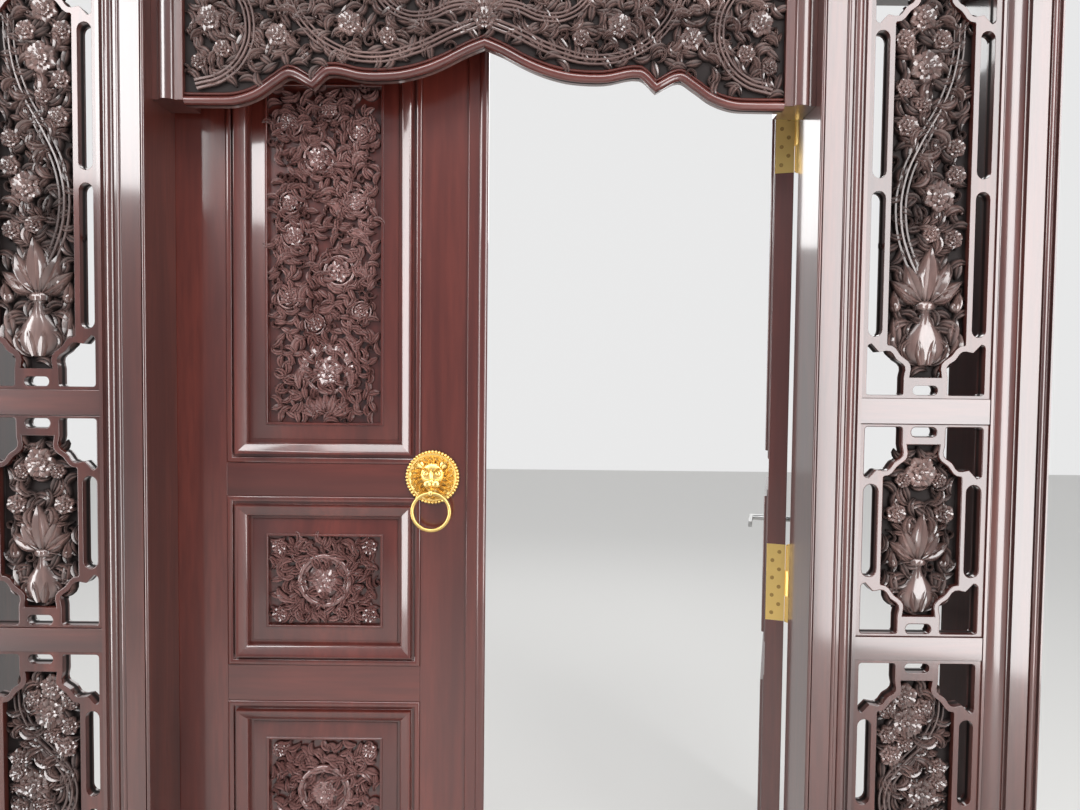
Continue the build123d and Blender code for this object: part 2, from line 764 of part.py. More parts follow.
def carved_panel(low, high):
    # A board with a raised field: a bevel, a thin bead, and the carving inside it.
    height = high - low
    ground = front_plane(panel_center_x, groove_front, (low + high) / 2)
    field_half_width = panel_width / 2 - field_inset - field_bead_width
    field_half_height = height / 2 - field_inset - field_bead_width
    with BuildPart() as panel:
        with BuildSketch(ground) as board:
            Rectangle(panel_width + 2 * panel_tongue, height + 2 * panel_tongue)
        extrude(amount=-panel_groove_width)
        with BuildSketch(ground) as raised:
            Rectangle(panel_width - 2 * bevel_inset, height - 2 * bevel_inset)
        extrude(amount=bevel_rise)
        raised_face = panel.faces().sort_by(Axis.Y)[0]
        chamfer(raised_face.edges(), bevel_width, bevel_rise - bevel_step, reference=raised_face)
        field_face = ground.offset(bevel_rise)
        with BuildSketch(field_face) as thin_bead:
            Rectangle(panel_width - 2 * field_inset, height - 2 * field_inset)
        extrude(amount=field_bead_rise)
        bead_face = field_face.offset(field_bead_rise)
        with BuildSketch(bead_face) as sunk:
            Rectangle(2 * field_half_width, 2 * field_half_height)
        extrude(amount=-carving_ground_depth, mode=Mode.SUBTRACT)
        carving_ground = bead_face.offset(-carving_ground_depth)
        if field_half_height > 2 * field_half_width:
            scroll_field(carving_ground, field_half_width, field_half_height)
        else:
            ring_medallion(carving_ground)
    return panel


for panel_name, (low, high) in panel_spans.items():
    write_both_leaves(carved_panel(low, high), f"{panel_name}_panel")


# Mouldings planted round the panels, mitred at the corners

def moulding_profile(plane):
    # Across the strip from its outer edge: bead, groove and roll.
    back = panel_groove_setback
    bead_end = moulding_bead_width
    roll_start = bead_end + moulding_groove_width
    with BuildSketch(plane) as profile:
        bead = half_round(0, bead_end, 0, moulding_bead_rise, 3)
        roll = half_round(roll_start, moulding_width - roll_start, -moulding_groove_depth,
                          moulding_roll_rise + moulding_groove_depth, 4)
        Polygon(*bead, (bead_end, -moulding_groove_depth), *roll, (moulding_width, -back),
                (0, -back), align=None)
    return profile


mitre_gap = 0.2


def mitred_strip(corner, along, across, length):
    # A strip from corner, in the direction along, whose inner side faces across.
    strip_plane = Plane(origin=corner, x_dir=across, z_dir=along)
    flip = strip_plane.y_dir.Y > 0
    with BuildPart() as strip:
        if flip:
            strip_plane = Plane(origin=corner, x_dir=across, z_dir=-along)
        profile = moulding_profile(strip_plane)
        extrude(profile.sketch, amount=-length if flip else length)
        start_cut = Plane(origin=corner, z_dir=along - across).offset(mitre_gap / 2)
        split(bisect_by=start_cut, keep=Keep.TOP)
        end_cut = Plane(origin=corner + along * length, z_dir=-along - across).offset(mitre_gap / 2)
        split(bisect_by=end_cut, keep=Keep.TOP)
    return strip.part


right_way = Vector(1, 0, 0)
up_way = Vector(0, 0, 1)
with BuildPart() as panel_mouldings:
    for low, high in panel_spans.values():
        lower_left = Vector(panel_left, leaf_front, low)
        upper_right = Vector(panel_right, leaf_front, high)
        add(mitred_strip(lower_left, right_way, up_way, panel_width))
        add(mitred_strip(lower_left, up_way, right_way, high - low))
        add(mitred_strip(upper_right, -right_way, -up_way, panel_width))
        add(mitred_strip(upper_right, -up_way, -right_way, high - low))
write_both_leaves(panel_mouldings, "panel_mouldings")

with BuildPart() as astragal:
    # A flat band with a broad half-round nosing on its inner side
    right_side = leaf_meeting_x + meeting_gap / 2 + astragal_overlap
    left_side = right_side - astragal_width
    nosing_start = left_side + astragal_width * 0.55
    band_y = leaf_front - astragal_thickness * 0.6
    with BuildSketch(Plane.XY.offset(leaf_bottom)) as astragal_profile:
        Polygon((left_side, leaf_front), (left_side, band_y),
                *half_round(nosing_start, right_side - nosing_start, band_y,
                            leaf_front - astragal_thickness - band_y),
                (right_side, leaf_front), align=None)
    extrude(amount=leaf_top - leaf_bottom)
write_piece(astragal, "astragal")

# Butt hinges: the jamb plate has the outer knuckles, and the leaf plate turns between them
knuckle_count = 3
knuckle_length = (hinge_height - (knuckle_count - 1) * hinge_knuckle_gap) / knuckle_count
hinge_bore_radius = hinge_pin_radius + hinge_pin_clearance


def hinge_plates(on_jamb):
    # All three plates of one side of the left leaf's hinges.
    face_x = jamb_face_x if on_jamb else leaf_hinge_x
    plate_side = Align.MAX if on_jamb else Align.MIN
    first = 0 if on_jamb else 1
    with BuildPart() as plates:
        for hinge_z in hinge_centers:
            bottom = hinge_z - hinge_height / 2
            with Locations((face_x, leaf_back, hinge_z)):
                Box(hinge_plate_thickness, hinge_plate_width, hinge_height,
                    align=(plate_side, Align.MAX, Align.CENTER))
            for number in range(first, knuckle_count, 2):
                knuckle_z = bottom + number * (knuckle_length + hinge_knuckle_gap)
                with Locations((face_x, leaf_back, knuckle_z)):
                    Box(hinge_plate_thickness, hinge_standoff + hinge_barrel_radius,
                        knuckle_length, align=(plate_side, Align.MIN, Align.MIN))
                round_prism(Plane((hinge_x, hinge_y, knuckle_z)), hinge_barrel_radius,
                            knuckle_length, 8)
            round_prism(Plane((hinge_x, hinge_y, bottom)), hinge_bore_radius, hinge_height, 6,
                        Mode.SUBTRACT, True)
    return plates


write_both_sides(hinge_plates(True), "jamb_hinge_plates")
write_both_leaves(hinge_plates(False), "leaf_hinge_plates")

with BuildPart() as hinge_pins:
    for hinge_z in hinge_centers:
        with Locations((hinge_x, hinge_y, hinge_z)):
            Cylinder(hinge_pin_radius, hinge_height + 2 * hinge_pin_end)
write_both_sides(hinge_pins, "hinge_pins")

# Pull: a petalled plate with a beast's head that holds a ring in its mouth
pull_face = front_plane(pull_x, leaf_front, pull_z)
axis_plane = Plane(origin=(pull_x, leaf_front - pull_axis_front, pull_z - pull_axis_drop),
                   x_dir=(0, 1, 0), z_dir=(1, 0, 0))
plate_front = pull_plate_standoff + pull_plate_thickness
ring_radius = ring_outer_diameter / 2 - ring_tube_diameter / 2
lug_radius = ring_tube_diameter / 2 + ring_clearance + lug_wall


def petal_outline(radius, lobe, count):
    # A rim of small round lobes.
    points = []
    for step in range(2 * count):
        reach = radius + (lobe if step % 2 == 0 else 0)
        angle = math.pi * step / count
        points.append((reach * math.cos(angle), reach * math.sin(angle)))
    return points


with BuildPart() as pull_plate:
    round_prism(pull_face, pull_boss_radius, plate_front, 8)
    with BuildSketch(pull_face.offset(pull_plate_standoff)) as petals:
        Polygon(*petal_outline(pull_plate_radius, pull_petal_rise, pull_petal_count), align=None)
    extrude(amount=pull_plate_thickness)
    # Mane and brow, then the muzzle over the jaw, with the eye of the ring below it
    add(carved_flower(pull_face.offset(plate_front), 0, 0, pull_mane_radius, pull_head_rise, 7))
    with BuildSketch(pull_face.offset(plate_front)) as head:
        RegularPolygon(pull_head_radius, 8)
    extrude(amount=pull_head_rise)
    chamfer(pull_plate.faces().sort_by(Axis.Y)[0].edges(), pull_head_chamfer)
    with BuildSketch(pull_face.offset(plate_front)) as muzzle:
        with Locations((0, -pull_head_radius * 0.6)):
            Rectangle(pull_muzzle_width, pull_muzzle_height)
    extrude(amount=pull_axis_front - plate_front - ring_tube_diameter / 2)
    round_prism(axis_plane.offset(-lug_width / 2), lug_radius, lug_width, 8)
    with BuildSketch(pull_face.offset(plate_front)) as jaw:
        with Locations((0, -pull_axis_drop)):
            Rectangle(lug_width, lug_radius * 1.6)
    extrude(amount=pull_axis_front - plate_front)
    with Locations(axis_plane):
        Cylinder(ring_tube_diameter / 2 + ring_clearance, 2 * pull_head_radius, mode=Mode.SUBTRACT)
write_piece(pull_plate, "pull_plate")

# The ring's tube is swept round a many-sided path that starts in the middle of a side
ring_sides = 16
ring_plane = Plane(origin=(pull_x, leaf_front - pull_axis_front,
                           pull_z - pull_axis_drop - ring_radius), x_dir=(1, 0, 0), z_dir=(0, -1, 0))
half_side = math.pi / ring_sides
ring_corners = [(ring_radius * math.cos(half_side * turn) / math.cos(half_side),
                 ring_radius * math.sin(half_side * turn) / math.cos(half_side))
                for turn in range(1, 2 * ring_sides, 2)]
with BuildPart() as pull_ring:
    with BuildLine(ring_plane) as ring_path:
        first_side = ((ring_corners[0][0] + ring_corners[-1][0]) / 2,
                      (ring_corners[0][1] + ring_corners[-1][1]) / 2)
        Polyline(first_side, *ring_corners, close=True)
    with BuildSketch(Plane(ring_path.line @ 0, z_dir=ring_path.line % 0)) as tube:
        RegularPolygon(ring_tube_diameter / 2, 6)
    sweep(transition=Transition.RIGHT)
write_piece(pull_ring, "pull_ring")

# Lever lock: case in the stile, a plate and a lever on each face, one square spindle
with BuildPart() as lock_case:
    with Locations((leaf_meeting_x, leaf_middle, lever_z)):
        Box(lock_case_width, lock_case_thickness, lock_case_height,
            align=(Align.MAX, Align.CENTER, Align.CENTER))
    cut_spindle_hole()
write_right_leaf_piece(lock_case, "lock_case")

with BuildPart() as handle_plates:
    for face_y, align_y in ((leaf_front, Align.MAX), (leaf_back, Align.MIN)):
        with Locations((lever_x, face_y, lever_z)):
            Box(handle_plate_width, handle_plate_thickness, handle_plate_height,
                align=(Align.CENTER, align_y, Align.CENTER))
    cut_spindle_hole()
write_right_leaf_piece(handle_plates, "handle_plates")

with BuildPart() as lever_handles:
    # Each lever is a round neck out of the plate and a flat arm towards the hinge side.
    for face_y, out in ((leaf_front, -1), (leaf_back, 1)):
        arm_y = face_y + out * (lever_reach - lever_arm_thickness / 2)
        neck_start = face_y + out * spindle_clearance
        neck_length = lever_reach - spindle_clearance
        with Locations(front_plane(lever_x, neck_start + out * neck_length / 2, lever_z)):
            Cylinder(lever_radius, neck_length)
        with Locations((lever_x, arm_y, lever_z)):
            Box(lever_length, lever_arm_thickness, lever_arm_width,
                align=(Align.MAX, Align.CENTER, Align.CENTER))
    with BuildSketch(front_plane(lever_x, leaf_middle, lever_z)) as spindle:
        Rectangle(spindle_size, spindle_size)
    extrude(amount=leaf_thickness / 2 + lever_radius, both=True)
write_right_leaf_piece(lever_handles, "lever_handles")

# Sliding bolts: a rod in a channel, behind a flush plate with a slot for its knob
bolt_ends = {"upper": (leaf_top, -1), "lower": (leaf_bottom, 1)}
for bolt_name, (end_z, inward) in bolt_ends.items():
    knob_z = end_z + inward * (bolt_plate_end + bolt_plate_length / 2)
    with BuildPart() as bolt:
        round_prism(Plane((bolt_x, bolt_y, end_z)), bolt_radius, inward * bolt_length, 8)
        round_prism(front_plane(bolt_x, bolt_y, knob_z), bolt_knob_radius,
                    -(bolt_setback + bolt_knob_height), 6)
    write_piece(bolt, f"{bolt_name}_bolt")

with BuildPart() as bolt_plates:
    for end_z, inward in bolt_ends.values():
        plate_z = end_z + inward * (bolt_plate_end + bolt_plate_length / 2)
        with Locations((bolt_x, leaf_back, plate_z)):
            Box(bolt_plate_width, bolt_plate_thickness, bolt_plate_length,
                align=(Align.CENTER, Align.MAX, Align.CENTER))
        slot_z = plate_z - inward * bolt_throw / 2
        with Locations((bolt_x, leaf_back, slot_z)):
            Box(2 * (bolt_knob_radius + bolt_clearance), 2 * bolt_plate_thickness,
                bolt_throw + 2 * (bolt_knob_radius + bolt_clearance), mode=Mode.SUBTRACT)
write_piece(bolt_plates, "bolt_plates")
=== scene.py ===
from contextlib import contextmanager
import json
import math
import random

import bpy
from mathutils import Matrix, Vector

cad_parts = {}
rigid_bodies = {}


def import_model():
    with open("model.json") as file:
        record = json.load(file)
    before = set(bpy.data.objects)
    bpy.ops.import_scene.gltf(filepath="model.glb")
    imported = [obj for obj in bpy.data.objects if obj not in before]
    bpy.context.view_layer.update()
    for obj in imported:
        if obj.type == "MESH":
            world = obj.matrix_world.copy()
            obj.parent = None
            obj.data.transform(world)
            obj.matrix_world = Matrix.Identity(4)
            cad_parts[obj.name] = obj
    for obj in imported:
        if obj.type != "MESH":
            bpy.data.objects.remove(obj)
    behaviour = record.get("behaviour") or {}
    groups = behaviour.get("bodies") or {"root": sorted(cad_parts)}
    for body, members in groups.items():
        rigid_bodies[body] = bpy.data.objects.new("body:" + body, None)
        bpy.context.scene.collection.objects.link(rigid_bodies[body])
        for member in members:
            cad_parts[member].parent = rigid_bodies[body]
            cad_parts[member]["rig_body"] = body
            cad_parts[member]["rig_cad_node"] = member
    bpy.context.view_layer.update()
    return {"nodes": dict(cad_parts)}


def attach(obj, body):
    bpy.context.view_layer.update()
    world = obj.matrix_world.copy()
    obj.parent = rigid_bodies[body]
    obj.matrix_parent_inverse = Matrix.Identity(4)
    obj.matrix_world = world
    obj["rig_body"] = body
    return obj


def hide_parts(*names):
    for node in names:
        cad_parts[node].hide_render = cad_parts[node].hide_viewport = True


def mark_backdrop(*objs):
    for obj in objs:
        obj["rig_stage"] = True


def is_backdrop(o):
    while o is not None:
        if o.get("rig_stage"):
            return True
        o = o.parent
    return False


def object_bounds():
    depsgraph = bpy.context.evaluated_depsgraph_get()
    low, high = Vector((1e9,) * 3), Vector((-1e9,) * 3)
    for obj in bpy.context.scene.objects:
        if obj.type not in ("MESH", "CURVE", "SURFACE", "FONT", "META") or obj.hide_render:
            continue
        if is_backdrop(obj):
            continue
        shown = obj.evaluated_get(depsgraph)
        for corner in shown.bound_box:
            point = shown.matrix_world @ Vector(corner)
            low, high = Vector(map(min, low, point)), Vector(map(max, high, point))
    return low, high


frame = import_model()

nodes = frame["nodes"]

# Camera, light and studio. The door is seen from just outside it, a little right of its middle
# and at the height of a standing person's chest, with a wide lens. Large soft lamps in front
# stand in for the open sky that the varnish mirrors.


def add_object(name, data):
    thing = bpy.data.objects.new(name, data)
    bpy.context.scene.collection.objects.link(thing)
    return thing


camera_data = bpy.data.cameras.new("door_camera")
camera_data.lens = 26.0
camera_data.sensor_width = 36.0
camera = add_object("door_camera", camera_data)
tilt_down = 2.26
lean = 0.6
camera.matrix_world = (Matrix.Translation((0.1135, -1.5645, 1.295))
                       @ Matrix.Rotation(math.radians(90 - tilt_down), 4, "X")
                       @ Matrix.Rotation(math.radians(lean), 4, "Z"))
bpy.context.scene.camera = camera
bpy.context.scene.view_settings.view_transform = "Standard"

for name, place, target, width, height, power in (
        ("sky_left", (-1.57, -1.5, 2.56), (-0.80, 0.0, 2.1), 0.62, 1.15, 24),
        ("sky_side", (-2.45, -1.2, 1.3), (-0.2, 0.05, 1.2), 0.8, 2.6, 56),
        ("sky_right", (1.85, -1.9, 1.6), (0.6, 0.0, 1.3), 1.15, 3.2, 88),
        ("sky_front", (0.2, -2.3, 4.3), (0.0, 0.0, 1.2), 3.4, 1.6, 125),
        ("room_light", (0.3, 3.0, 2.8), (0.1, 0.2, 1.0), 2.4, 1.6, 40)):
    lamp_data = bpy.data.lights.new(name, "AREA")
    lamp_data.shape = "RECTANGLE"
    lamp_data.size = width
    lamp_data.size_y = height
    lamp_data.energy = power
    aim = (Vector(target) - Vector(place)).to_track_quat("-Z", "Y").to_matrix().to_4x4()
    add_object(name, lamp_data).matrix_world = Matrix.Translation(place) @ aim

world = bpy.data.worlds.new("studio")
bpy.context.scene.world = world
world.use_nodes = True
world.node_tree.nodes["Background"].inputs["Color"].default_value = (0.9, 0.94, 1.0, 1.0)
world.node_tree.nodes["Background"].inputs["Strength"].default_value = 0.34


def set_inputs(tree, node, inputs):
    # Each input is either a plain value or a socket to link from.
    for key, value in inputs.items():
        if isinstance(value, bpy.types.NodeSocket):
            tree.links.new(value, node.inputs[key])
        else:
            node.inputs[key].default_value = value


def add_node(tree, kind, inputs=None, **settings):
    node = tree.nodes.new("ShaderNode" + kind)
    for label, setting in settings.items():
        setattr(node, label, setting)
    set_inputs(tree, node, inputs or {})
    return node


def new_material(name):
    material = bpy.data.materials.new(name)
    material.use_nodes = True
    return material, material.node_tree


def studio_material(name, colour, seen_strength):
    # A pale surface that the camera and mirrored rays see at its own colour.
    material, tree = new_material(name)
    tree.nodes.clear()
    ray = add_node(tree, "LightPath").outputs
    seen = add_node(tree, "Math", {0: ray["Is Camera Ray"], 1: ray["Is Glossy Ray"]},
                    operation="MAXIMUM")
    seen = add_node(tree, "Math", {0: seen.outputs[0], 1: ray["Is Transmission Ray"]},
                    operation="MAXIMUM")
    share = add_node(tree, "Math", {0: seen.outputs[0], 1: seen_strength}, operation="MULTIPLY")
    plain = add_node(tree, "BsdfDiffuse", {"Color": colour})
    glow = add_node(tree, "Emission", {"Color": colour, "Strength": 1.0})
    mix = add_node(tree, "MixShader", {"Fac": share.outputs[0], 1: plain.outputs[0],
                                       2: glow.outputs[0]})
    add_node(tree, "OutputMaterial", {"Surface": mix.outputs[0]})
    return material


def add_shape(operator, name, scale=(1, 1, 1), **sizes):
    # A primitive at its place, with its scale and turn worked into its mesh.
    bpy.ops.object.select_all(action="DESELECT")
    operator(**sizes)
    shape = bpy.context.object
    shape.name = name
    shape.scale = scale
    bpy.ops.object.transform_apply(location=True, rotation=True, scale=True)
    return shape


upright = (math.pi / 2, 0, 0)
floor = add_shape(bpy.ops.mesh.primitive_plane_add, "studio_floor", size=24, location=(0, 4, 0))
floor.data.materials.append(studio_material("pale_floor", (0.78, 0.77, 0.75, 1), 0.5))
backdrop = add_shape(bpy.ops.mesh.primitive_plane_add, "studio_backdrop", size=24,
                     location=(0, 9, 6), rotation=upright)
backdrop.data.materials.append(studio_material("pale_backdrop", (0.86, 0.86, 0.86, 1), 0.9))
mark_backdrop(floor, backdrop)

# Posts. Each is one hardwood post with its front worked into rolls, beads and grooves by a
# moulding plane, then varnished. The inner posts carry the leaves and are let in for the hinge
# plates; the outer ones stand against the wall. They stand on the floor under the head rail.
frame_front = -0.0825
frame_back = 0.0825
doorway_half = 0.635
doorway_top = 2.065
bay_near = 0.725
bay_far = 0.975
frame_side = 1.085
roll_steps = 14
groove_depth = 0.006
deepest_roll = 0.008
weld = 0.00001
many_faces = 8000


def grain_group():
    # Long streaks of darker and lighter wood with fine pores, in the piece's own coordinates.
    group = bpy.data.node_groups.new("wood_grain", "ShaderNodeTree")
    for label, way, kind in (("Vector", "INPUT", "Vector"), ("Dark", "INPUT", "Color"),
                             ("Light", "INPUT", "Color"), ("Color", "OUTPUT", "Color"),
                             ("Roughness", "OUTPUT", "Float"), ("Height", "OUTPUT", "Float")):
        group.interface.new_socket(label, in_out=way, socket_type="NodeSocket" + kind)
    start = group.nodes.new("NodeGroupInput").outputs
    end = group.nodes.new("NodeGroupOutput")
    broad = add_node(group, "TexNoise", {"Vector": start["Vector"], "Scale": 14.0,
                                         "Detail": 5.0, "Distortion": 0.6})
    fine = add_node(group, "TexNoise", {"Vector": start["Vector"], "Scale": 120.0,
                                        "Detail": 3.0})
    blotch = add_node(group, "TexNoise", {"Vector": start["Vector"], "Scale": 2.2,
                                          "Detail": 3.0})
    streak = add_node(group, "MapRange", {"Value": broad.outputs["Fac"], "From Min": 0.32,
                                          "From Max": 0.68})
    pore = add_node(group, "MapRange", {"Value": fine.outputs["Fac"], "From Min": 0.35,
                                        "From Max": 0.6, "To Min": 0.55})
    amount = add_node(group, "Math", {0: streak.outputs[0], 1: pore.outputs[0]},
                      operation="MULTIPLY")
    tone = add_node(group, "Mix", {0: amount.outputs[0], 6: start["Dark"], 7: start["Light"]},
                    data_type="RGBA")
    rough = add_node(group, "MapRange", {"Value": blotch.outputs["Fac"], "From Min": 0.3,
                                         "From Max": 0.7, "To Min": 0.26, "To Max": 0.44})
    set_inputs(group, end, {"Color": tone.outputs[2], "Roughness": rough.outputs[0],
                            "Height": amount.outputs[0]})
    return group


wood_grain = grain_group()


def wood_material(name, stretch, light, dark, coat, turned=None, ground=None,
                  deep=(0.006, 0.0022, 0.0018)):
    # Grain runs along the axis with the small stretch, under a thick glossy varnish. turned is
    # the turn of an open leaf, which is undone. ground gives the y of a carving's ground and of
    # its crests: towards the ground the colour is a near-black painted shade, with rougher wood
    # and less varnish, and towards the crests it turns into the grain's tones; the back of the
    # board stays plain.
    material, tree = new_material(name)
    back = turned.inverted() if turned else Matrix.Identity(4)
    place = add_node(tree, "TexCoord").outputs["Object"]
    place = add_node(tree, "Mapping", {"Vector": place, "Rotation": back.to_euler(),
                                       "Location": back.translation}).outputs["Vector"]
    drawn_out = add_node(tree, "Mapping", {"Vector": place, "Scale": stretch})
    grain = add_node(tree, "Group", node_tree=wood_grain).outputs
    set_inputs(tree, grain[0].node, {"Vector": drawn_out.outputs["Vector"],
                                     "Dark": (*dark, 1), "Light": (*light, 1)})
    relief = add_node(tree, "Bump", {"Height": grain["Height"], "Strength": 0.12,
                                     "Distance": 0.001})
    looks = {"Base Color": grain["Color"], "Roughness": grain["Roughness"],
             "Normal": relief.outputs["Normal"], "Coat Weight": coat, "Coat Roughness": 0.10,
             "Coat IOR": 1.7}
    # Painted shade: the colour darkens to near black towards the carving's ground and comes back
    # to the grain's tones at the crests.
    if ground:
        y = add_node(tree, "SeparateXYZ", {"Vector": place}).outputs["Y"]
        height = add_node(tree, "MapRange", {"Value": y, "From Min": ground[0],
                                             "From Max": ground[1]},
                          interpolation_type="SMOOTHSTEP")
        behind = add_node(tree, "MapRange", {"Value": y, "From Min": ground[0] + 0.006,
                                             "From Max": ground[0] + 0.009})
        lit = add_node(tree, "Math", {0: height.outputs["Result"], 1: behind.outputs["Result"]},
                       operation="MAXIMUM").outputs[0]
        shade = add_node(tree, "Mix", {0: lit, 6: (*deep, 1), 7: grain["Color"]},
                         data_type="RGBA")
        dull = add_node(tree, "MapRange", {"Value": lit, "To Min": 0.75, "To Max": 0.30})
        varnish = add_node(tree, "Math", {0: lit, 1: coat}, operation="MULTIPLY")
        looks.update({"Base Color": shade.outputs[2], "Roughness": dull.outputs["Result"],
                      "Coat Weight": varnish.outputs[0], "Coat Roughness": 0.11,
                      "Specular IOR Level": 0.3})
    set_inputs(tree, tree.nodes["Principled BSDF"], looks)
    return material


frame_tones = ((0.085, 0.022, 0.016), (0.032, 0.0085, 0.007))
frame_wood = wood_material("frame_wood", (1.0, 1.0, 0.08), *frame_tones, 0.9)


def select_only(piece):
    bpy.ops.object.select_all(action="DESELECT")
    piece.select_set(True)
    bpy.context.view_layer.objects.active = piece


@contextmanager
def editing(piece):
    # The piece is worked on with all of it selected, and its faces look outwards afterwards.
    select_only(piece)
    bpy.ops.object.mode_set(mode="EDIT")
    bpy.ops.mesh.select_all(action="SELECT")
    yield
    bpy.ops.mesh.select_all(action="SELECT")
    bpy.ops.mesh.normals_make_consistent(inside=False)
    bpy.ops.object.mode_set(mode="OBJECT")


def extrude_by(x, y, z):
    bpy.ops.mesh.extrude_region_move(TRANSFORM_OT_translate={"value": (x, y, z)})


def weld_points(distance=weld):
    bpy.ops.mesh.select_all(action="SELECT")
    bpy.ops.mesh.remove_doubles(threshold=distance)


def worked_front(start_x, steps):
    # The front line of a post from its doorway side outwards: flats, rolls and square grooves.
    line = []
    x = start_x
    for kind, width in steps:
        if kind == "roll":
            sink = min(deepest_roll, width / 2)
            for step in range(roll_steps + 1):
                angle = math.pi * step / roll_steps
                line.append((x - width / 2 * (1 - math.cos(angle)),
                             frame_front + sink * (1 - math.sin(angle))))
        else:
            y = frame_front + (groove_depth if kind == "groove" else 0)
            line += [(x, y), (x - width, y)]
        x = x - width
    return line


def solid_from(name, points, travel, welded=False):
    # A closed outline, drawn out by travel.
    mesh = bpy.data.meshes.new(name)
    mesh.from_pydata(points, [], [list(range(len(points)))])
    piece = add_object(name, mesh)
    with editing(piece):
        extrude_by(*travel)
        if welded:
            weld_points()
    return piece


def upright_solid(name, outline, low, high):
    # An outline in plan, drawn up from low to high.
    return solid_from(name, [(x, y, low) for x, y in outline], (0, 0, high - low), True)


def soften_edges(piece, width, angle=35, segments=2):
    # Sanded arrises, which catch the light.
    select_only(piece)
    round_over = piece.modifiers.new("arris", "BEVEL")
    round_over.width = width
    round_over.segments = segments
    round_over.limit_method = "ANGLE"
    round_over.angle_limit = math.radians(angle)
    round_over.harden_normals = False
    bpy.ops.object.modifier_apply(modifier=round_over.name)
    bpy.ops.object.shade_smooth_by_angle(angle=math.radians(32))


def subtract(piece, waste):
    # Takes the shape of the waste out of the piece.
    select_only(piece)
    cut = piece.modifiers.new("cut", "BOOLEAN")
    cut.object = waste
    cut.operation = "DIFFERENCE"
    cut.solver = "EXACT"
    bpy.ops.object.modifier_apply(modifier=cut.name)
    bpy.data.objects.remove(waste)


def cut_away(piece, low, high):
    # A square recess cut with a chisel between two corners.
    subtract(piece, add_shape(bpy.ops.mesh.primitive_cube_add, "waste", size=1,
                              scale=[b - a for a, b in zip(low, high)],
                              location=[(a + b) / 2 for a, b in zip(low, high)]))


def dress(piece, material, body, slot, *stands_for):
    if len(piece.data.polygons) < many_faces:
        # Flat faces keep their own direction, and only the arrises between them are shaded round.
        select_only(piece)
        weighing = piece.modifiers.new("flats", "WEIGHTED_NORMAL")
        weighing.keep_sharp = True
        bpy.ops.object.modifier_apply(modifier=weighing.name)
    piece.data.materials.clear()
    piece.data.materials.append(material)
    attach(piece, body)
    if stands_for:
        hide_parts(*stands_for)


def copied(piece, name):
    twin = piece.copy()
    twin.data = piece.data.copy()
    twin.name = name
    twin.parent = None
    bpy.context.scene.collection.objects.link(twin)
    return twin


def on_the_right(name):
    return name.replace("left_", "right_")


def mirrored(piece, name):
    twin = copied(piece, name)
    twin.data.transform(Matrix.Scale(-1, 4, (1, 0, 0)))
    twin.data.flip_normals()
    return twin


def dress_both(piece, material, slot, *stands_for):
    # A piece of the frame's left side, and then its mirror image on the right side. The image
    # is copied once the piece is dressed, so it also keeps the left piece's marks.
    dress(piece, material, "frame", slot, *stands_for)
    twin = mirrored(piece, on_the_right(piece.name))
    dress(twin, material, "frame", slot, *map(on_the_right, stands_for))


hinge_levels = (0.230, 0.853, 1.807)
hinge_half_height = 0.0825
hinge_plate_reach = 0.038
hinge_plate_depth = 0.0025
leaf_front = 0.0445
leaf_back = 0.0825
jamb_face = 0.650
rebate_foot = 0.030
past = 0.010

post_plans = {
    "left_inner_post": (doorway_half, bay_near, (
        ("roll", 0.008), ("flat", 0.036), ("roll", 0.010), ("groove", 0.006), ("roll", 0.018),
        ("groove", 0.005), ("flat", 0.007))),
    "left_outer_post": (bay_far, frame_side, (
        ("groove", 0.005), ("roll", 0.040), ("groove", 0.005), ("flat", 0.034),
        ("groove", 0.005), ("roll", 0.013), ("groove", 0.005), ("flat", 0.003)))}
for name, (near, far, steps) in post_plans.items():
    outline = worked_front(-near, steps) + [(-far, frame_back), (-near, frame_back)]
    post = upright_solid(name + "_worked", outline, 0, doorway_top)
    if name == "left_inner_post":
        cut_away(post, (-jamb_face, leaf_front - 0.0015, rebate_foot),
                 (-doorway_half + 0.005, leaf_back + past, doorway_top + 0.005))
        for level in hinge_levels:
            cut_away(post, (-jamb_face - hinge_plate_depth, leaf_back - hinge_plate_reach,
                            level - hinge_half_height),
                     (-jamb_face + 0.005, leaf_back + past, level + hinge_half_height))
    soften_edges(post, 0.0008)
    for piece in (post, mirrored(post, on_the_right(post.name))):
        dress(piece, frame_wood, "frame", "frame_wood", piece.name.replace("_worked", ""))

# Head rail with its small crown, the threshold, and the plain rails of the side bays. They are
# planed boards, tenoned or scribed between the posts, with their sharp edges taken off.
frame_level_wood = wood_material("frame_level_wood", (0.08, 1.0, 1.0), *frame_tones, 0.9)


def planed_copy(name, width, angle=30):
    # The same board as in the frame, with its edges softened.
    board = copied(nodes[name], name + "_planed")
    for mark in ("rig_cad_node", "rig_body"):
        if mark in board:
            del board[mark]
    select_only(board)
    bpy.ops.object.mode_set(mode="EDIT")
    weld_points()
    bpy.ops.mesh.dissolve_limited(angle_limit=math.radians(0.5))
    bpy.ops.object.mode_set(mode="OBJECT")
    soften_edges(board, width, angle)
    return board


for name in ("head_rail", "threshold", "left_plinth_rail", "right_plinth_rail",
             "left_lower_cross_rail", "right_lower_cross_rail", "left_upper_cross_rail",
             "right_upper_cross_rail"):
    dress(planed_copy(name, 0.0012), frame_level_wood, "frame", "frame_wood", name)
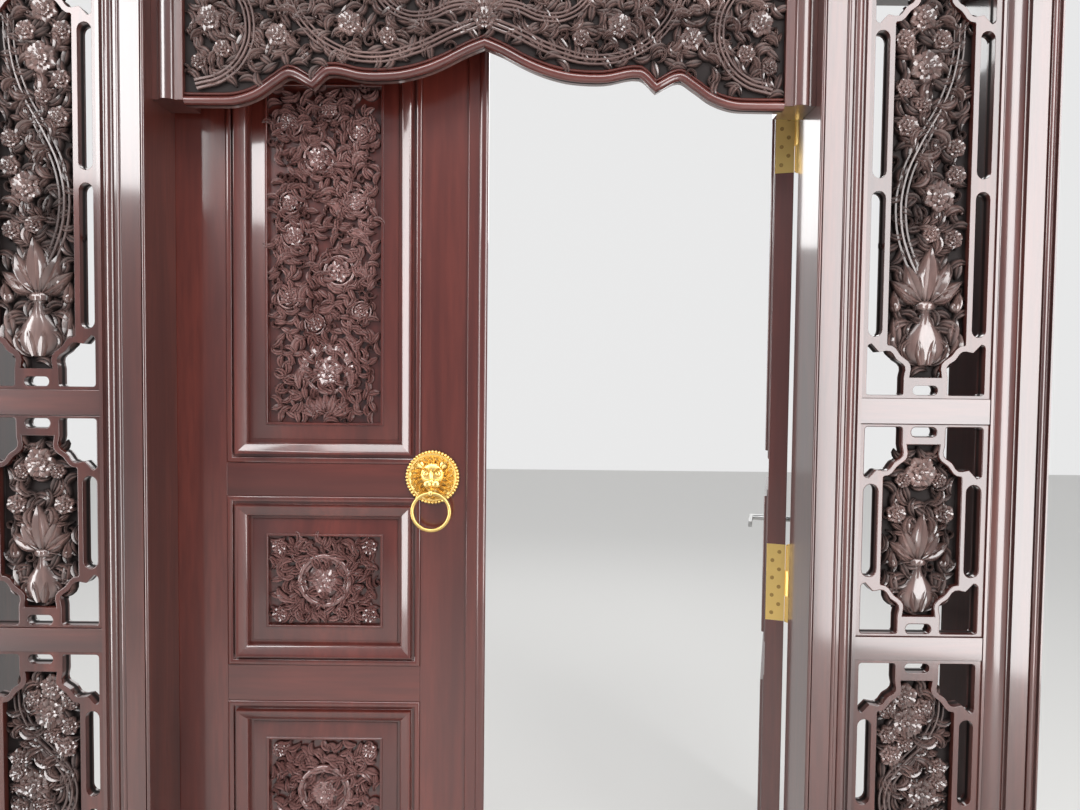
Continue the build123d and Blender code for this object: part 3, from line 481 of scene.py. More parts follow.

# Pierced boards of the side bays. Each is one board, sawn out round a central field and carved
# by hand: a vase with a lotus at its foot, and stems with leaves and flowers that fill the
# field above it. The ground is sunk deep, so that it stays dark between the leaves, and its
# colour is darkened there too as painted shade.
bay_middle = -0.850
fret_front = -0.0725
fret_back = -0.0445
fret_ground = -0.0560
fret_plane_y = -0.0575
saw_front = -0.080
saw_back = -0.036
field_half = 0.075
chance = random.Random(7)
# The fret carving's tones are lighter and greyer than the rest of the wood, as a painted highlight
# of the varnish on its crests; carving and board both darken to a painted shade towards their
# ground.
fret_wood = wood_material("fret_wood", (1.0, 1.0, 0.2), (0.165, 0.100, 0.088),
                          (0.050, 0.026, 0.022), 1.0, ground=(-0.0600, -0.0700))
fret_board_wood = wood_material("fret_board_wood", (1.0, 1.0, 0.1), *frame_tones, 0.8,
                                ground=(-0.0580, -0.0640))


def pick(piece, indices):
    # Selects vertices by number and leaves the piece in edit mode.
    bpy.ops.object.mode_set(mode="OBJECT")
    for part in (*piece.data.polygons, *piece.data.edges, *piece.data.vertices):
        part.select = False
    for index in indices:
        piece.data.vertices[index].select = True
    bpy.ops.object.mode_set(mode="EDIT")


def carve_blade(name, spine, across):
    # A leaf, petal or scroll cut from a strip: across gives the rise from edge to edge, and
    # spine gives x, y, direction, half width and rise of each station from base to tip.
    bpy.context.tool_settings.mesh_select_mode = (True, False, False)
    blade = add_shape(bpy.ops.mesh.primitive_grid_add, name, x_subdivisions=len(spine) - 1,
                      y_subdivisions=len(across) - 1, size=2)
    points = blade.data.vertices
    columns = sorted({round(v.co.x, 4) for v in points})
    lines = sorted({round(v.co.y, 4) for v in points})
    stations = [[v.index for v in points if round(v.co.x, 4) == x] for x in columns]
    ridges = [[v.index for v in points if round(v.co.y, 4) == y] for y in lines]
    for ridge, rise in zip(ridges, across):
        pick(blade, ridge)
        bpy.ops.transform.translate(value=(0, 0, rise))
    for station, column, (x, y, turn, half_width, rise) in zip(stations, columns, spine):
        pick(blade, station)
        bpy.ops.transform.resize(value=(1, half_width, rise), center_override=(column, 0, 0))
        bpy.ops.transform.rotate(value=-math.radians(turn), orient_axis="Z",
                                 center_override=(column, 0, 0))
        bpy.ops.transform.translate(value=(x - column, y, 0))
    bpy.ops.object.mode_set(mode="OBJECT")
    with editing(blade):
        extrude_by(0, 0, -0.004)
        bpy.ops.transform.resize(value=(1, 1, 0), center_override=(0, 0, -0.003))
        bpy.ops.mesh.dissolve_faces()
    bpy.ops.object.shade_smooth_by_angle(angle=math.radians(48))
    return blade


def gather(name, parts):
    # Joins the copies into one carving.
    bpy.ops.object.select_all(action="DESELECT")
    for part in parts:
        part.select_set(True)
    bpy.context.view_layer.objects.active = parts[0]
    bpy.ops.object.join()
    parts[0].name = name
    return parts[0]


def polar(reach, bearing):
    return reach * math.cos(math.radians(bearing)), reach * math.sin(math.radians(bearing))


class Carving:
    # Motifs and stems that are set on one plane and then joined into one piece.
    def __init__(self, plane=Matrix.Identity(4)):
        self.plane = plane
        self.parts = []

    def stamp(self, motif, x, y, turn=0, size=1.0, rise=None, lift=0.0, flip=False):
        # One more copy of a motif, set on the ground of a board.
        copy = motif.copy()
        copy.data = motif.data.copy()
        rise = size if rise is None else rise
        shape = Matrix.Diagonal((size, -size if flip else size, rise, 1))
        turned = Matrix.Rotation(math.radians(turn), 4, "Z")
        copy.data.transform(self.plane @ Matrix.Translation((x, y, lift)) @ turned @ shape)
        if flip:
            copy.data.flip_normals()
        bpy.context.scene.collection.objects.link(copy)
        self.parts.append(copy)

    def stem(self, points, radius, lift, taper=0.6):
        # A rounded stem along a smooth line through the points, thinner at its tip.
        curve = bpy.data.curves.new("stem", "CURVE")
        curve.dimensions = "3D"
        curve.bevel_depth = radius
        curve.bevel_resolution = 1
        curve.resolution_u = 5
        curve.use_fill_caps = True
        spline = curve.splines.new("BEZIER")
        spline.bezier_points.add(len(points) - 1)
        for number, (point, (x, y)) in enumerate(zip(spline.bezier_points, points)):
            point.co = (x, y, lift)
            point.handle_left_type = "AUTO"
            point.handle_right_type = "AUTO"
            point.radius = 1 - (1 - taper) * number / (len(points) - 1)
        stem = add_object("stem", curve)
        select_only(stem)
        bpy.ops.object.convert(target="MESH")
        stem.data.transform(self.plane)
        bpy.ops.object.shade_smooth_by_angle(angle=math.radians(60))
        self.parts.append(stem)

    def bundle(self, points, spread, radius, lift):
        # Three stems side by side, which keep their distance along the same sweep.
        for rank in (-1, 0, 1):
            shifted = []
            for number, (x, y) in enumerate(points):
                before = points[max(number - 1, 0)]
                after = points[min(number + 1, len(points) - 1)]
                along = Vector((after[0] - before[0], after[1] - before[1])).normalized()
                shifted.append((x - along.y * rank * spread, y + along.x * rank * spread))
            self.stem(shifted, radius, lift + (0.001 if rank == 0 else 0))

    def fill(self, inside, low, high, spacing, size, rise=0.8):
        # Small leaves and scrolls that fill what the main stems leave open, lower than they are.
        y = low[1]
        row = 0
        while y < high[1]:
            x = low[0] + (spacing / 2 if row % 2 else 0)
            while x < high[0]:
                px = x + chance.uniform(-0.2, 0.2) * spacing
                py = y + chance.uniform(-0.2, 0.2) * spacing
                turn = chance.uniform(0, 360)
                flip = chance.random() < 0.5
                kind = chance.random()
                if inside(px, py):
                    back_x, back_y = polar(size * 0.022, turn)
                    motif = (hook_leaf if kind < 0.5 else scroll if kind < 0.72 else lance_leaf)
                    self.stamp(motif, px - back_x, py - back_y, turn,
                               size * 0.8 if motif is scroll else size, rise, 0, flip)
                x += spacing
            y += spacing * 0.87
            row += 1

    def joined(self, name):
        return gather(name, self.parts)


def curved_spine(length, bend, widths, rises, hook=0.0):
    # Stations along an arc that bends by bend degrees, and tightens by hook towards the tip.
    spine = []
    x = y = heading = 0.0
    last = len(widths) - 1
    for number, (width, rise) in enumerate(zip(widths, rises)):
        spine.append((x, y, heading, max(width, 0.0002), rise))
        heading += bend / last * (1 + hook * (number / last * 2 - 1))
        step_x, step_y = polar(length / last, heading)
        x += step_x
        y += step_y
    return spine


leaf_across = (0.25, 1.0, 0.55, 1.0, 0.25)
lance_leaf = carve_blade("lance_leaf", curved_spine(
    0.050, 8, (0.003, 0.0075, 0.0105, 0.0115, 0.0105, 0.008, 0.0045, 0.0),
    (0.005, 0.008, 0.010, 0.011, 0.0105, 0.009, 0.006, 0.003)), leaf_across)
hook_leaf = carve_blade("hook_leaf", curved_spine(
    0.056, 130, (0.003, 0.006, 0.009, 0.0105, 0.0105, 0.0095, 0.008, 0.0055, 0.0),
    (0.005, 0.008, 0.010, 0.0115, 0.012, 0.011, 0.009, 0.007, 0.004), 0.5), leaf_across)
scroll = carve_blade("scroll", curved_spine(
    0.088, 400, (0.0032, 0.0042, 0.005, 0.0055, 0.0055, 0.0052, 0.005, 0.0047, 0.0043, 0.004,
                 0.0036, 0.0034, 0.0036, 0.003),
    (0.005, 0.007, 0.009, 0.010, 0.0105, 0.011, 0.011, 0.011, 0.0105, 0.0105, 0.010, 0.010,
     0.010, 0.007), 0.75), (0.1, 0.9, 0.6, 0.9, 0.1))
petal = carve_blade("petal", curved_spine(
    0.0165, 0, (0.003, 0.0062, 0.0082, 0.0075, 0.003), (0.004, 0.006, 0.008, 0.009, 0.006)),
    (0.8, 1.0, 0.62, 1.0, 0.8))


def carve_button(name, radius, height, rings=5, segments=14):
    # A domed button, flat on its back.
    button = add_shape(bpy.ops.mesh.primitive_uv_sphere_add, name, segments=segments,
                       ring_count=2 * rings, radius=radius)
    with editing(button):
        bpy.ops.mesh.bisect(plane_co=(0, 0, 0), plane_no=(0, 0, 1), clear_inner=True,
                            use_fill=True)
        bpy.ops.mesh.select_all(action="SELECT")
        bpy.ops.transform.resize(value=(1, 1, height / radius), center_override=(0, 0, 0))
    bpy.ops.object.shade_smooth_by_angle(angle=math.radians(45))
    return button


bud = carve_button("bud", 0.0062, 0.011, 4, 10)
work = Carving()
for number in range(6):
    work.stamp(petal, *polar(0.0045, 60 * number), 60 * number, 1.0)
for number in range(5):
    bearing = 72 * number + 20
    work.stamp(petal, *polar(0.002, bearing), bearing, 0.62, 0.8, 0.0035)
work.stamp(bud, 0, 0, 0, 0.62, 0.5, 0.0065)
flower = work.joined("flower")

work = Carving()
for motif, x, y, turn, size, rise in (
        (hook_leaf, 0, 0, 0, 1.0, 1.0), (lance_leaf, 0.012, -0.001, -38, 0.62, 0.9),
        (lance_leaf, 0.024, 0.000, -12, 0.6, 0.9), (lance_leaf, 0.010, 0.004, 62, 0.5, 0.85),
        (bud, 0.022, 0.032, 0, 0.55, 0.7)):
    work.stamp(motif, x, y, turn, size, rise)
spray = work.joined("spray")

work = Carving()
for turn, size in ((90, 1.25), (58, 0.95), (122, 0.95), (28, 0.8), (152, 0.8)):
    work.stamp(lance_leaf, polar(0.006, turn)[0], 0, turn, size, 1.15,
               0.001 if turn == 90 else 0.0)
for x, turn, flip in ((0.008, 15, False), (-0.008, 165, True)):
    work.stamp(hook_leaf, x, -0.002, turn, 0.62, 0.9, 0.0, flip)
lotus = work.joined("lotus")

vase = carve_blade("vase", [(0, y, 90, half_width, rise) for y, half_width, rise in (
    (0.000, 0.010, 0.006), (0.003, 0.018, 0.009), (0.012, 0.031, 0.013), (0.026, 0.0375, 0.015),
    (0.040, 0.037, 0.015), (0.054, 0.030, 0.014), (0.066, 0.020, 0.012), (0.077, 0.0125, 0.010),
    (0.087, 0.0100, 0.009), (0.092, 0.0105, 0.009), (0.094, 0.0175, 0.012),
    (0.099, 0.0190, 0.0125), (0.104, 0.0175, 0.012), (0.107, 0.0140, 0.008))],
    (0.05, 0.55, 0.72, 0.95, 0.86, 1.0, 0.86, 0.95, 0.72, 0.55, 0.05))
bowl_petal = carve_blade("bowl_petal", curved_spine(
    0.058, 0, (0.005, 0.0085, 0.0105, 0.0105, 0.0085, 0.005, 0.0),
    (0.004, 0.006, 0.0075, 0.008, 0.0075, 0.006, 0.003)), (0.3, 1.0, 0.45, 1.0, 0.3))


def field_shape(half_height):
    # True inside the eight-sided field of a pierced board.
    def inside(x, y, margin=0.006):
        arch = half_height - 0.040 - margin
        shoulder = half_height - 0.092
        across = 0.075 - margin
        if abs(y) > shoulder:
            across = min(across, 0.035 + (arch - abs(y)) * 0.77 - margin * 0.5)
        return abs(x) < across and abs(y) < arch
    return inside


def saw_out(board, outline, front, back):
    # An opening through the board, or a sinking in its face, with the given outline.
    subtract(board, solid_from("waste", [(x, front, z) for x, z in outline],
                               (0, back - front, 0)))


def arc_points(x, z, radius_x, radius_z, start, finish, steps=4):
    # Points along a quarter or half of an ellipse, in degrees.
    points = []
    for step in range(steps + 1):
        across, up = polar(1, start + (finish - start) * step / steps)
        points.append((x + radius_x * across, z + radius_z * up))
    return points


corner_x = 0.090
corner_drop = 0.040


def scalloped_corner(radius):
    # Two small lobes with a cusp between them, round the outer corner of the board.
    points = []
    for step in range(13):
        turn = math.radians(7.5 * step)
        reach = radius + 0.0030 * (1 - math.cos(8 * turn))
        points.append((corner_x - reach * math.cos(turn),
                       -corner_drop - reach * math.sin(turn)))
    return points[::-1]


slot_gap = 0.024
slot_x = 0.099
slot_radius = 0.0140
slot_half_width = 0.0135
slots_short_of_board = 0.234


def pierced_board(name, low, high, slots):
    half_height = (high - low) / 2
    middle = (low + high) / 2
    board = add_shape(bpy.ops.mesh.primitive_cube_add, name, size=1,
                      scale=(bay_far - bay_near, fret_back - fret_front, high - low),
                      location=(bay_middle, (fret_front + fret_back) / 2, middle))
    run = 2 * half_height - slots_short_of_board
    slot_length = (run - (slots - 1) * slot_gap) / slots
    straight = slot_length / 2 - slot_radius
    openings = []
    for side in (-1, 1):
        for number in range(slots):
            z = -run / 2 + slot_length / 2 + number * (slot_length + slot_gap)
            openings.append([(side * slot_x + px, z + pz) for start in (0, 180) for px, pz in
                             arc_points(0, straight if start == 0 else -straight,
                                        slot_half_width, slot_radius, start, start + 180, 8)])
        for up in (-1, 1):
            corner = (scalloped_corner(0.0480)
                      + arc_points(0.0470, -0.0110, 0.0050, 0.0050, 180, 90)
                      + arc_points(0.1070, -0.0120, 0.0060, 0.0060, 90, 0)
                      + arc_points(0.1050, -0.0960, 0.0080, 0.0080, 0, -90))
            openings.append([(side * px, up * (half_height + pz)) for px, pz in corner])
    for up in (-1, 1):
        z = up * (half_height - 0.0155)
        openings.append([(px, z + pz) for px, pz in
                         arc_points(0.0160, 0, 0.0080, 0.0092, -90, 90, 8)
                         + arc_points(-0.0160, 0, 0.0080, 0.0092, 90, 270, 8)])
    field = [(field_half, half_height - 0.104)]
    field += [(px, half_height + pz) for px, pz in scalloped_corner(0.0590)
              if px < field_half - 0.0001]
    field += [(-px, pz) for px, pz in reversed(field)]
    field += [(px, -pz) for px, pz in reversed(field)]
    for outline in openings + [field]:
        saw_out(board, [(bay_middle + px, middle + pz) for px, pz in outline], saw_front,
                fret_ground if outline is field else saw_back)
    return board


def vase_group(work, foot, size):
    # The fluted vase in its petals, the lotus palm over its collar, and the scrolls, leaves and
    # buds that stand at its sides.
    work.stamp(vase, 0, foot, 0, size, 1.0)
    for x, turn, scale in ((0.006, 80, 0.8), (-0.006, 100, 0.8)):
        work.stamp(bowl_petal, x * size, foot + 0.002, turn, scale * size, 1.0, 0.0095)
    work.stamp(lotus, 0, foot + 0.106 * size, 0, 1.42 * size, 1.15, 0.001)
    work.stamp(lance_leaf, 0, foot + 0.110 * size, 90, 1.75 * size, 1.3, 0.004)
    for side in (-1, 1):
        flip = side < 0
        base = 0 if side > 0 else 180
        for motif, x, y, lean, scale, rise, lift, turned in (
                (scroll, 0.012, 0.002, 8, 1.15, 1.1, 0, flip),
                (hook_leaf, 0.036, 0.012, 22, 1.10, 1.1, 0, flip),
                (lance_leaf, 0.044, 0.034, 78, 1.05, 1.1, 0, flip),
                (bud, 0.050, 0.098, 0, 1.75, 1.3, 0, False),
                (lance_leaf, 0.050, 0.088, 80, 0.72, 1.2, 0.004, flip),
                (hook_leaf, 0.022, 0.070, 20, 0.85, 1.0, 0, not flip),
                (lance_leaf, 0.010, 0.110, 62, 1.35, 1.2, 0.003, flip),
                (lance_leaf, 0.012, 0.108, 30, 1.15, 1.2, 0.003, flip),
                (hook_leaf, 0.014, 0.104, 4, 0.95, 1.1, 0.001, flip)):
            lean = base + side * lean if motif != bud else 0
            work.stamp(motif, side * x * size, foot + y * size, lean, scale * size,
                  rise, lift, turned)


def long_growth(work, foot, crest):
    # Three stems sway up the field from the lotus; flowers and sprays grow out on both sides.
    rise = crest - foot
    sway = [(0.010, foot - 0.030), (0.034, foot + rise * 0.03), (0.052, foot + rise * 0.17),
            (0.046, foot + rise * 0.32), (0.014, foot + rise * 0.47), (-0.022, foot + rise * 0.60),
            (-0.046, foot + rise * 0.76), (-0.050, foot + rise * 0.90)]
    work.bundle(sway, 0.0095, 0.0040, 0.0042)
    for x, share, size in ((-0.020, 0.26, 1.45), (-0.048, 0.10, 0.9), (-0.050, 0.34, 0.95),
                           (-0.006, 0.12, 0.85), (-0.048, 0.44, 0.9), (0.044, 0.52, 1.05),
                           (0.012, 0.74, 1.5), (0.050, 0.66, 0.9), (0.020, 0.92, 1.25),
                           (-0.016, 0.84, 0.95), (0.054, 0.84, 0.95), (0.016, 0.60, 0.8)):
        work.stamp(flower, x, foot + rise * share, 37 * share * 10, size, 1.0, 0.003)
    for x, share, turn, size, flip in (
            (0.020, 0.14, 160, 0.9, False), (0.034, 0.30, 190, 0.9, True),
            (0.024, 0.42, 218, 1.0, True), (0.000, 0.50, 170, 1.0, False),
            (-0.010, 0.60, 210, 0.9, True), (0.004, 0.60, 40, 1.0, False),
            (-0.030, 0.72, 60, 0.85, True), (-0.036, 0.66, 180, 0.75, False),
            (0.030, 0.44, 60, 0.9, False), (-0.040, 0.88, 80, 0.8, True),
            (-0.030, 0.18, 110, 0.9, False), (-0.012, 0.04, 140, 0.9, True),
            (0.000, 0.34, 100, 0.9, True), (0.034, 0.76, 40, 0.9, False)):
        work.stamp(spray, x, foot + rise * share, turn, size, 1.0, 0.002, flip)


def short_growth(work, foot, crest):
    # The short field ends in one flower under the arch, with small ones and leaves beside it.
    rise = crest - foot
    work.stamp(flower, 0, foot + rise * 0.72, 0, 1.45, 1.2, 0.003)
    for side in (-1, 1):
        flip = side < 0
        base = 0 if side > 0 else 180
        work.stamp(flower, side * 0.046, foot + rise * 0.20, 20, 0.95, 1.1, 0.003)
        work.stamp(flower, side * 0.034, foot + rise * 0.62, 50, 0.75, 1.0, 0.003)
        work.stamp(spray, side * 0.016, foot - rise * 0.10, base + side * 40, 0.9, 1.1,
              0.002, flip)
        work.stamp(hook_leaf, side * 0.018, foot + rise * 0.90, base + side * 20, 0.8,
              1.1, 0, flip)
        work.stamp(hook_leaf, side * 0.020, foot + rise * 0.30, base + side * 12, 0.9,
              1.1, 0, flip)


def carving_plane(x, y, z):
    # The face of a board as seen from the front: x to the right, y up and z towards the viewer.
    return Matrix.Translation((x, y, z)) @ Matrix.Rotation(math.radians(90), 4, "X")


fret_boards = {"lower_fretwork": (0.150, 0.748), "middle_fretwork": (0.794, 1.207),
               "upper_fretwork": (1.256, 2.065)}
for stem_name, (bottom, top) in fret_boards.items():
    half_height = (top - bottom) / 2
    middle = (top + bottom) / 2
    short = stem_name == "middle_fretwork"
    board = pierced_board("left_" + stem_name + "_sawn", bottom, top, 1 if short else 2)
    soften_edges(board, 0.0022, 40, 3)
    inside_field = field_shape(half_height)
    work = Carving(carving_plane(bay_middle, fret_plane_y, middle))
    work.fill(lambda x, y: inside_field(x, y, 0.012), (-field_half, -half_height),
              (field_half, half_height), 0.0215, 0.84)
    foot = -half_height + (0.047 if short else 0.062)
    size = 0.98 if short else 1.16
    vase_group(work, foot, size)
    grow = short_growth if short else long_growth
    grow(work, foot + 0.165 * size, half_height - 0.050)
    carved = work.joined("left_" + stem_name + "_carving")
    dress_both(board, fret_board_wood, "carved_wood", "left_" + stem_name)
    dress_both(carved, fret_wood, "carved_wood")

# Leaf joinery: stiles and rails of planed hardwood, tenoned and pinned, with the narrow shadow
# of a joint where a rail meets a stile. The right leaf is the same work, standing open.
leaf_turn = (Matrix.Translation((0.6485, 0.0896, 0)) @ Matrix.Rotation(math.radians(-107), 4, "Z")
             @ Matrix.Translation((-0.6485, -0.0896, 0)))
leaf_tones = ((0.098, 0.017, 0.011), (0.045, 0.006, 0.004))
up_grain = (1.0, 1.0, 0.08)
level_grain = (0.08, 1.0, 1.0)
upright_wood = wood_material("upright_wood", up_grain, *leaf_tones, 0.7)
level_wood = wood_material("level_wood", level_grain, *leaf_tones, 0.7)
open_upright_wood = wood_material("open_upright_wood", up_grain, *leaf_tones, 0.7, leaf_turn)
open_level_wood = wood_material("open_level_wood", level_grain, *leaf_tones, 0.7, leaf_turn)
for stem_name in ("hinge_stile", "meeting_stile", "top_rail", "lock_rail", "middle_rail",
                  "bottom_rail"):
    stile = stem_name.endswith("stile")
    for side, finish in (("left", upright_wood if stile else level_wood),
                         ("right", open_upright_wood if stile else open_level_wood)):
        name = side + "_" + stem_name
        dress(planed_copy(name, 0.0009), finish, side + "_leaf", "frame_wood", name)

# Cover strip that hides the joint between the leaves: a flat band with a broad nosing, glued
# and pinned to the left leaf.
strip_outline = [(-0.037, leaf_front), (-0.037, 0.0385), (-0.0355, 0.0370), (-0.0165, 0.0370)]
for step in range(roll_steps + 1):
    angle = math.pi * step / roll_steps
    strip_outline.append((-0.01445 + 0.00922 * (1 - math.cos(angle)),
                          0.0372 - 0.0047 * math.sin(angle)))
strip_outline.append((0.004, leaf_front))
strip = upright_solid("astragal_worked", strip_outline, 0.035, 2.062)
soften_edges(strip, 0.0006)
dress(strip, upright_wood, "left_leaf", "frame_wood", "astragal")

# Mouldings round the panels: bead, groove and a big roll, planed in strips, mitred at the
# corners and planted in the frames of the leaves.
panel_left = -0.533
panel_right = -0.132
panel_middle = (panel_left + panel_right) / 2
panel_spans = {"lower": (0.214, 0.606), "middle": (0.682, 1.037), "upper": (1.106, 1.960)}
moulding_line = [(0.0, 0.0)]
for step in range(1, 7):
    angle = math.pi * step / 7
    moulding_line.append((0.006 * (1 - math.cos(angle)), 0.004 * math.sin(angle)))
moulding_line += [(0.012, -0.003), (0.018, -0.003), (0.0182, 0.0060), (0.0186, 0.0085),
                  (0.0194, 0.0098), (0.0204, 0.0100), (0.0216, 0.0096), (0.0260, 0.0077),
                  (0.0320, 0.0049), (0.0380, 0.0018), (0.0400, 0.0004), (0.0412, -0.0012),
                  (0.0420, -0.0040), (0.042, -0.012), (0.0, -0.012), (0.0, 0.0)]


def stepped_piece(name, low, high, steps, hollow=False):
    # A rectangle, or its edges alone if hollow, drawn on through steps of inset and y.
    wide = panel_right - panel_left
    tall = high - low
    inset, y = steps[0]
    centre = (panel_middle, y, (low + high) / 2)
    piece = add_shape(bpy.ops.mesh.primitive_plane_add, name, size=1, location=centre,
                      rotation=upright, scale=(wide - 2 * inset, tall - 2 * inset, 1))
    with editing(piece):
        if hollow:
            bpy.context.tool_settings.mesh_select_mode = (False, True, False)
            bpy.ops.mesh.select_all(action="SELECT")
            bpy.ops.mesh.delete(type="ONLY_FACE")
            bpy.ops.mesh.select_all(action="SELECT")
        for next_inset, next_y in steps[1:]:
            extrude_by(0, next_y - y, 0)
            bpy.ops.transform.resize(value=((wide - 2 * next_inset) / (wide - 2 * inset), 1,
                                            (tall - 2 * next_inset) / (tall - 2 * inset)),
                                     center_override=centre)
            inset, y = next_inset, next_y
        weld_points()
    bpy.context.tool_settings.mesh_select_mode = (True, False, False)
    return piece


def dress_leaves(piece, material, open_material, slot, stands_for=(), twin_name=None):
    # A piece of the closed left leaf, and then its image on the right leaf, which stands open.
    # Here too the image keeps the left piece's marks.
    dress(piece, material, "left_leaf", slot, *stands_for)
    twin = mirrored(piece, twin_name or on_the_right(piece.name))
    twin.data.transform(leaf_turn)
    dress(twin, open_material, "right_leaf", slot, *map(on_the_right, stands_for))


moulding_steps = [(inset, leaf_front - rise) for inset, rise in moulding_line]
mouldings = gather("left_mouldings_mitred", [
    stepped_piece("moulding", low, high, moulding_steps, hollow=True)
    for low, high in panel_spans.values()])
soften_edges(mouldings, 0.0004, 60, 1)
dress_leaves(mouldings, upright_wood, open_upright_wood, "frame_wood",
             ["left_panel_mouldings"])

# Leaf panels: boards with a raised field inside a thin bead, carved by hand. The tall one has
# ringed flowers among small curling leaves over a large ringed flower and a shell; the short
# ones have a ring with a flower in it and leaves round it.
field_half_width = 0.1165
field_inset = 0.084
panel_plane_y = 0.0540
# The panel carvings darken to a near-black painted shade at their ground, and their tones are
# lighter and greyer than the leaf's wood, as a painted highlight on the crests.
carved_looks = {"ground": (0.0545, 0.0475), "deep": (0.012, 0.0038, 0.0030)}
panel_sheen_tones = ((0.190, 0.100, 0.092), (0.090, 0.036, 0.032))
carved_grain = (1.0, 1.0, 0.12)
panel_wood = wood_material("panel_wood", carved_grain, *panel_sheen_tones, 1.0, **carved_looks)
open_panel_wood = wood_material("open_panel_wood", carved_grain, *panel_sheen_tones, 1.0, leaf_turn,
                                **carved_looks)


def raised_ring(name, radius, tube, height):
    # A plain raised ring, round in section.
    loop = add_shape(bpy.ops.mesh.primitive_torus_add, name, scale=(1, 1, height / tube),
                     major_radius=radius, minor_radius=tube, major_segments=28,
                     minor_segments=8)
    bpy.ops.object.shade_smooth()
    return loop


loop_pattern = raised_ring("loop_pattern", 0.030, 0.0034, 0.006)
work = Carving()
work.stamp(flower, 0, 0, 0, 1.0, 0.8, 0.001)
work.stamp(loop_pattern, 0, 0, 0, 0.86, 0.5, 0.0025)
rosette = work.joined("rosette")


def wreath(work, x, y, radius, count, size, motif, start=0.0, lean=55):
    # Leaves that run round a flower, each leaning over the next.
    for number in range(count):
        bearing = start + 360 * number / count
        dx, dy = polar(radius, bearing)
        work.stamp(motif, x + dx, y + dy, bearing + lean, size, 0.9)


def tall_field(work, half_height):
    places = [(-0.011, 0.200, 1.15), (-0.070, 0.108, 0.85), (-0.062, 0.040, 1.0),
              (0.030, -0.030, 1.15), (-0.074, -0.086, 0.85), (0.064, 0.112, 0.95),
              (0.072, 0.250, 0.8), (-0.072, 0.268, 0.95), (0.010, 0.296, 0.85),
              (0.076, -0.112, 0.75), (-0.020, -0.140, 0.8)]
    for x, y, size in places:
        work.stamp(rosette, x, y, 40 * size, size, 1.0, 0.001)
        wreath(work, x, y, 0.030 * size, 7, 0.62 * size, hook_leaf, 70 * size)
    for x, y, turn, size, flip in (
            (0.030, 0.075, 80, 1.0, False), (-0.010, 0.120, 60, 0.9, True),
            (0.085, 0.030, 110, 1.0, False), (-0.030, -0.060, 200, 0.9, False),
            (0.060, 0.180, 100, 0.9, True), (0.090, -0.050, 100, 0.8, False),
            (-0.095, -0.020, 80, 0.9, True), (0.020, -0.095, 250, 0.9, True),
            (-0.040, 0.150, 100, 0.8, False)):
        work.stamp(spray, x, y, turn, size, 0.95, 0.001, flip)
    # The ringed flower, the petals over it and the shell at the foot
    work.stamp(loop_pattern, 0.006, -0.236, 0, 1.5, 0.8, 0.002)
    work.stamp(flower, 0.006, -0.236, 15, 1.5, 0.9, 0.002)
    for number in range(7):
        bearing = 180 * number / 6
        work.stamp(petal, 0.006 + polar(0.038, bearing)[0], -0.232 + polar(0.034, bearing)[1],
                   bearing, 1.25, 1.0, 0.001)
    for number in range(9):
        bearing = 14 + 152 * number / 8
        work.stamp(lance_leaf, 0.004 + polar(0.012, bearing)[0], -half_height + 0.016, bearing,
                   0.98, 1.0)
    for side in (-1, 1):
        flip = side < 0
        base = 0 if side > 0 else 180
        work.stamp(scroll, side * 0.056, -half_height + 0.030, base + side * 30, 0.9,
              1.0, 0, flip)
        work.stamp(hook_leaf, side * 0.052, -half_height + 0.070, base + side * 65, 1.1,
              1.0, 0, flip)
        work.stamp(hook_leaf, side * 0.062, -0.205, base + side * 70, 1.0, 1.0, 0, flip)


def ring_field(work, half_height):
    work.stamp(loop_pattern, 0, 0, 0, 1.72, 1.0, 0.003)
    work.stamp(loop_pattern, 0, 0, 0, 1.45, 0.6, 0.002)
    work.stamp(bud, 0, 0, 0, 6.4, 0.5)
    work.stamp(flower, 0, 0, 0, 1.30, 0.6, 0.005)
    wreath(work, 0, 0, 0.058, 14, 0.60, lance_leaf, 15, 0)
    wreath(work, 0, 0, 0.060, 14, 0.56, hook_leaf, 0, 25)
    for side in (-1, 1):
        for up in (-1, 1):
            flip = side * up < 0
            turn = math.degrees(math.atan2(up * half_height, side * field_half_width))
            work.stamp(scroll, side * 0.060, up * 0.042, turn, 0.9, 1.0, 0, flip)
            work.stamp(flower, side * 0.094, up * (half_height - 0.022), 20, 0.78, 1.0,
                  0.002)
            work.stamp(spray, side * 0.056, up * 0.055, turn + 30 * side * up, 0.8, 1.0,
                  0.001, flip)
            work.stamp(hook_leaf, side * 0.098, up * 0.016, 90 * up, 0.9, 1.0, 0, flip)
            work.stamp(hook_leaf, side * 0.020, up * (half_height - 0.034), 20 + turn,
                  0.6, 1.0, 0, flip)
field_steps = [(-0.010, 0.0725), (-0.010, 0.0565), (0.0490, 0.0565), (0.0490, 0.0555),
               (0.0790, 0.0485), (0.0790, 0.0462), (0.0800, 0.0455), (0.0830, 0.0455),
               (0.0840, 0.0462), (0.0840, 0.0560)]
for panel_name, (low, high) in panel_spans.items():
    half_height = (high - low) / 2 - field_inset
    board = stepped_piece("left_" + panel_name + "_panel_worked", low, high, field_steps)
    soften_edges(board, 0.0004, 50, 1)
    work = Carving(carving_plane(panel_middle, panel_plane_y, (low + high) / 2))
    work.fill(lambda x, y: abs(x) < field_half_width - 0.011 and abs(y) < half_height - 0.011,
              (-field_half_width, -half_height), (field_half_width, half_height), 0.0180, 0.65,
              1.05)
    make_field = tall_field if panel_name == "upper" else ring_field
    make_field(work, half_height)
    carved = work.joined("left_" + panel_name + "_panel_carving")
    dress_leaves(board, upright_wood, open_upright_wood, "carved_wood",
                 ["left_" + panel_name + "_panel"], "right_" + panel_name + "_panel_planed")
    dress_leaves(carved, panel_wood, open_panel_wood, "carved_wood")

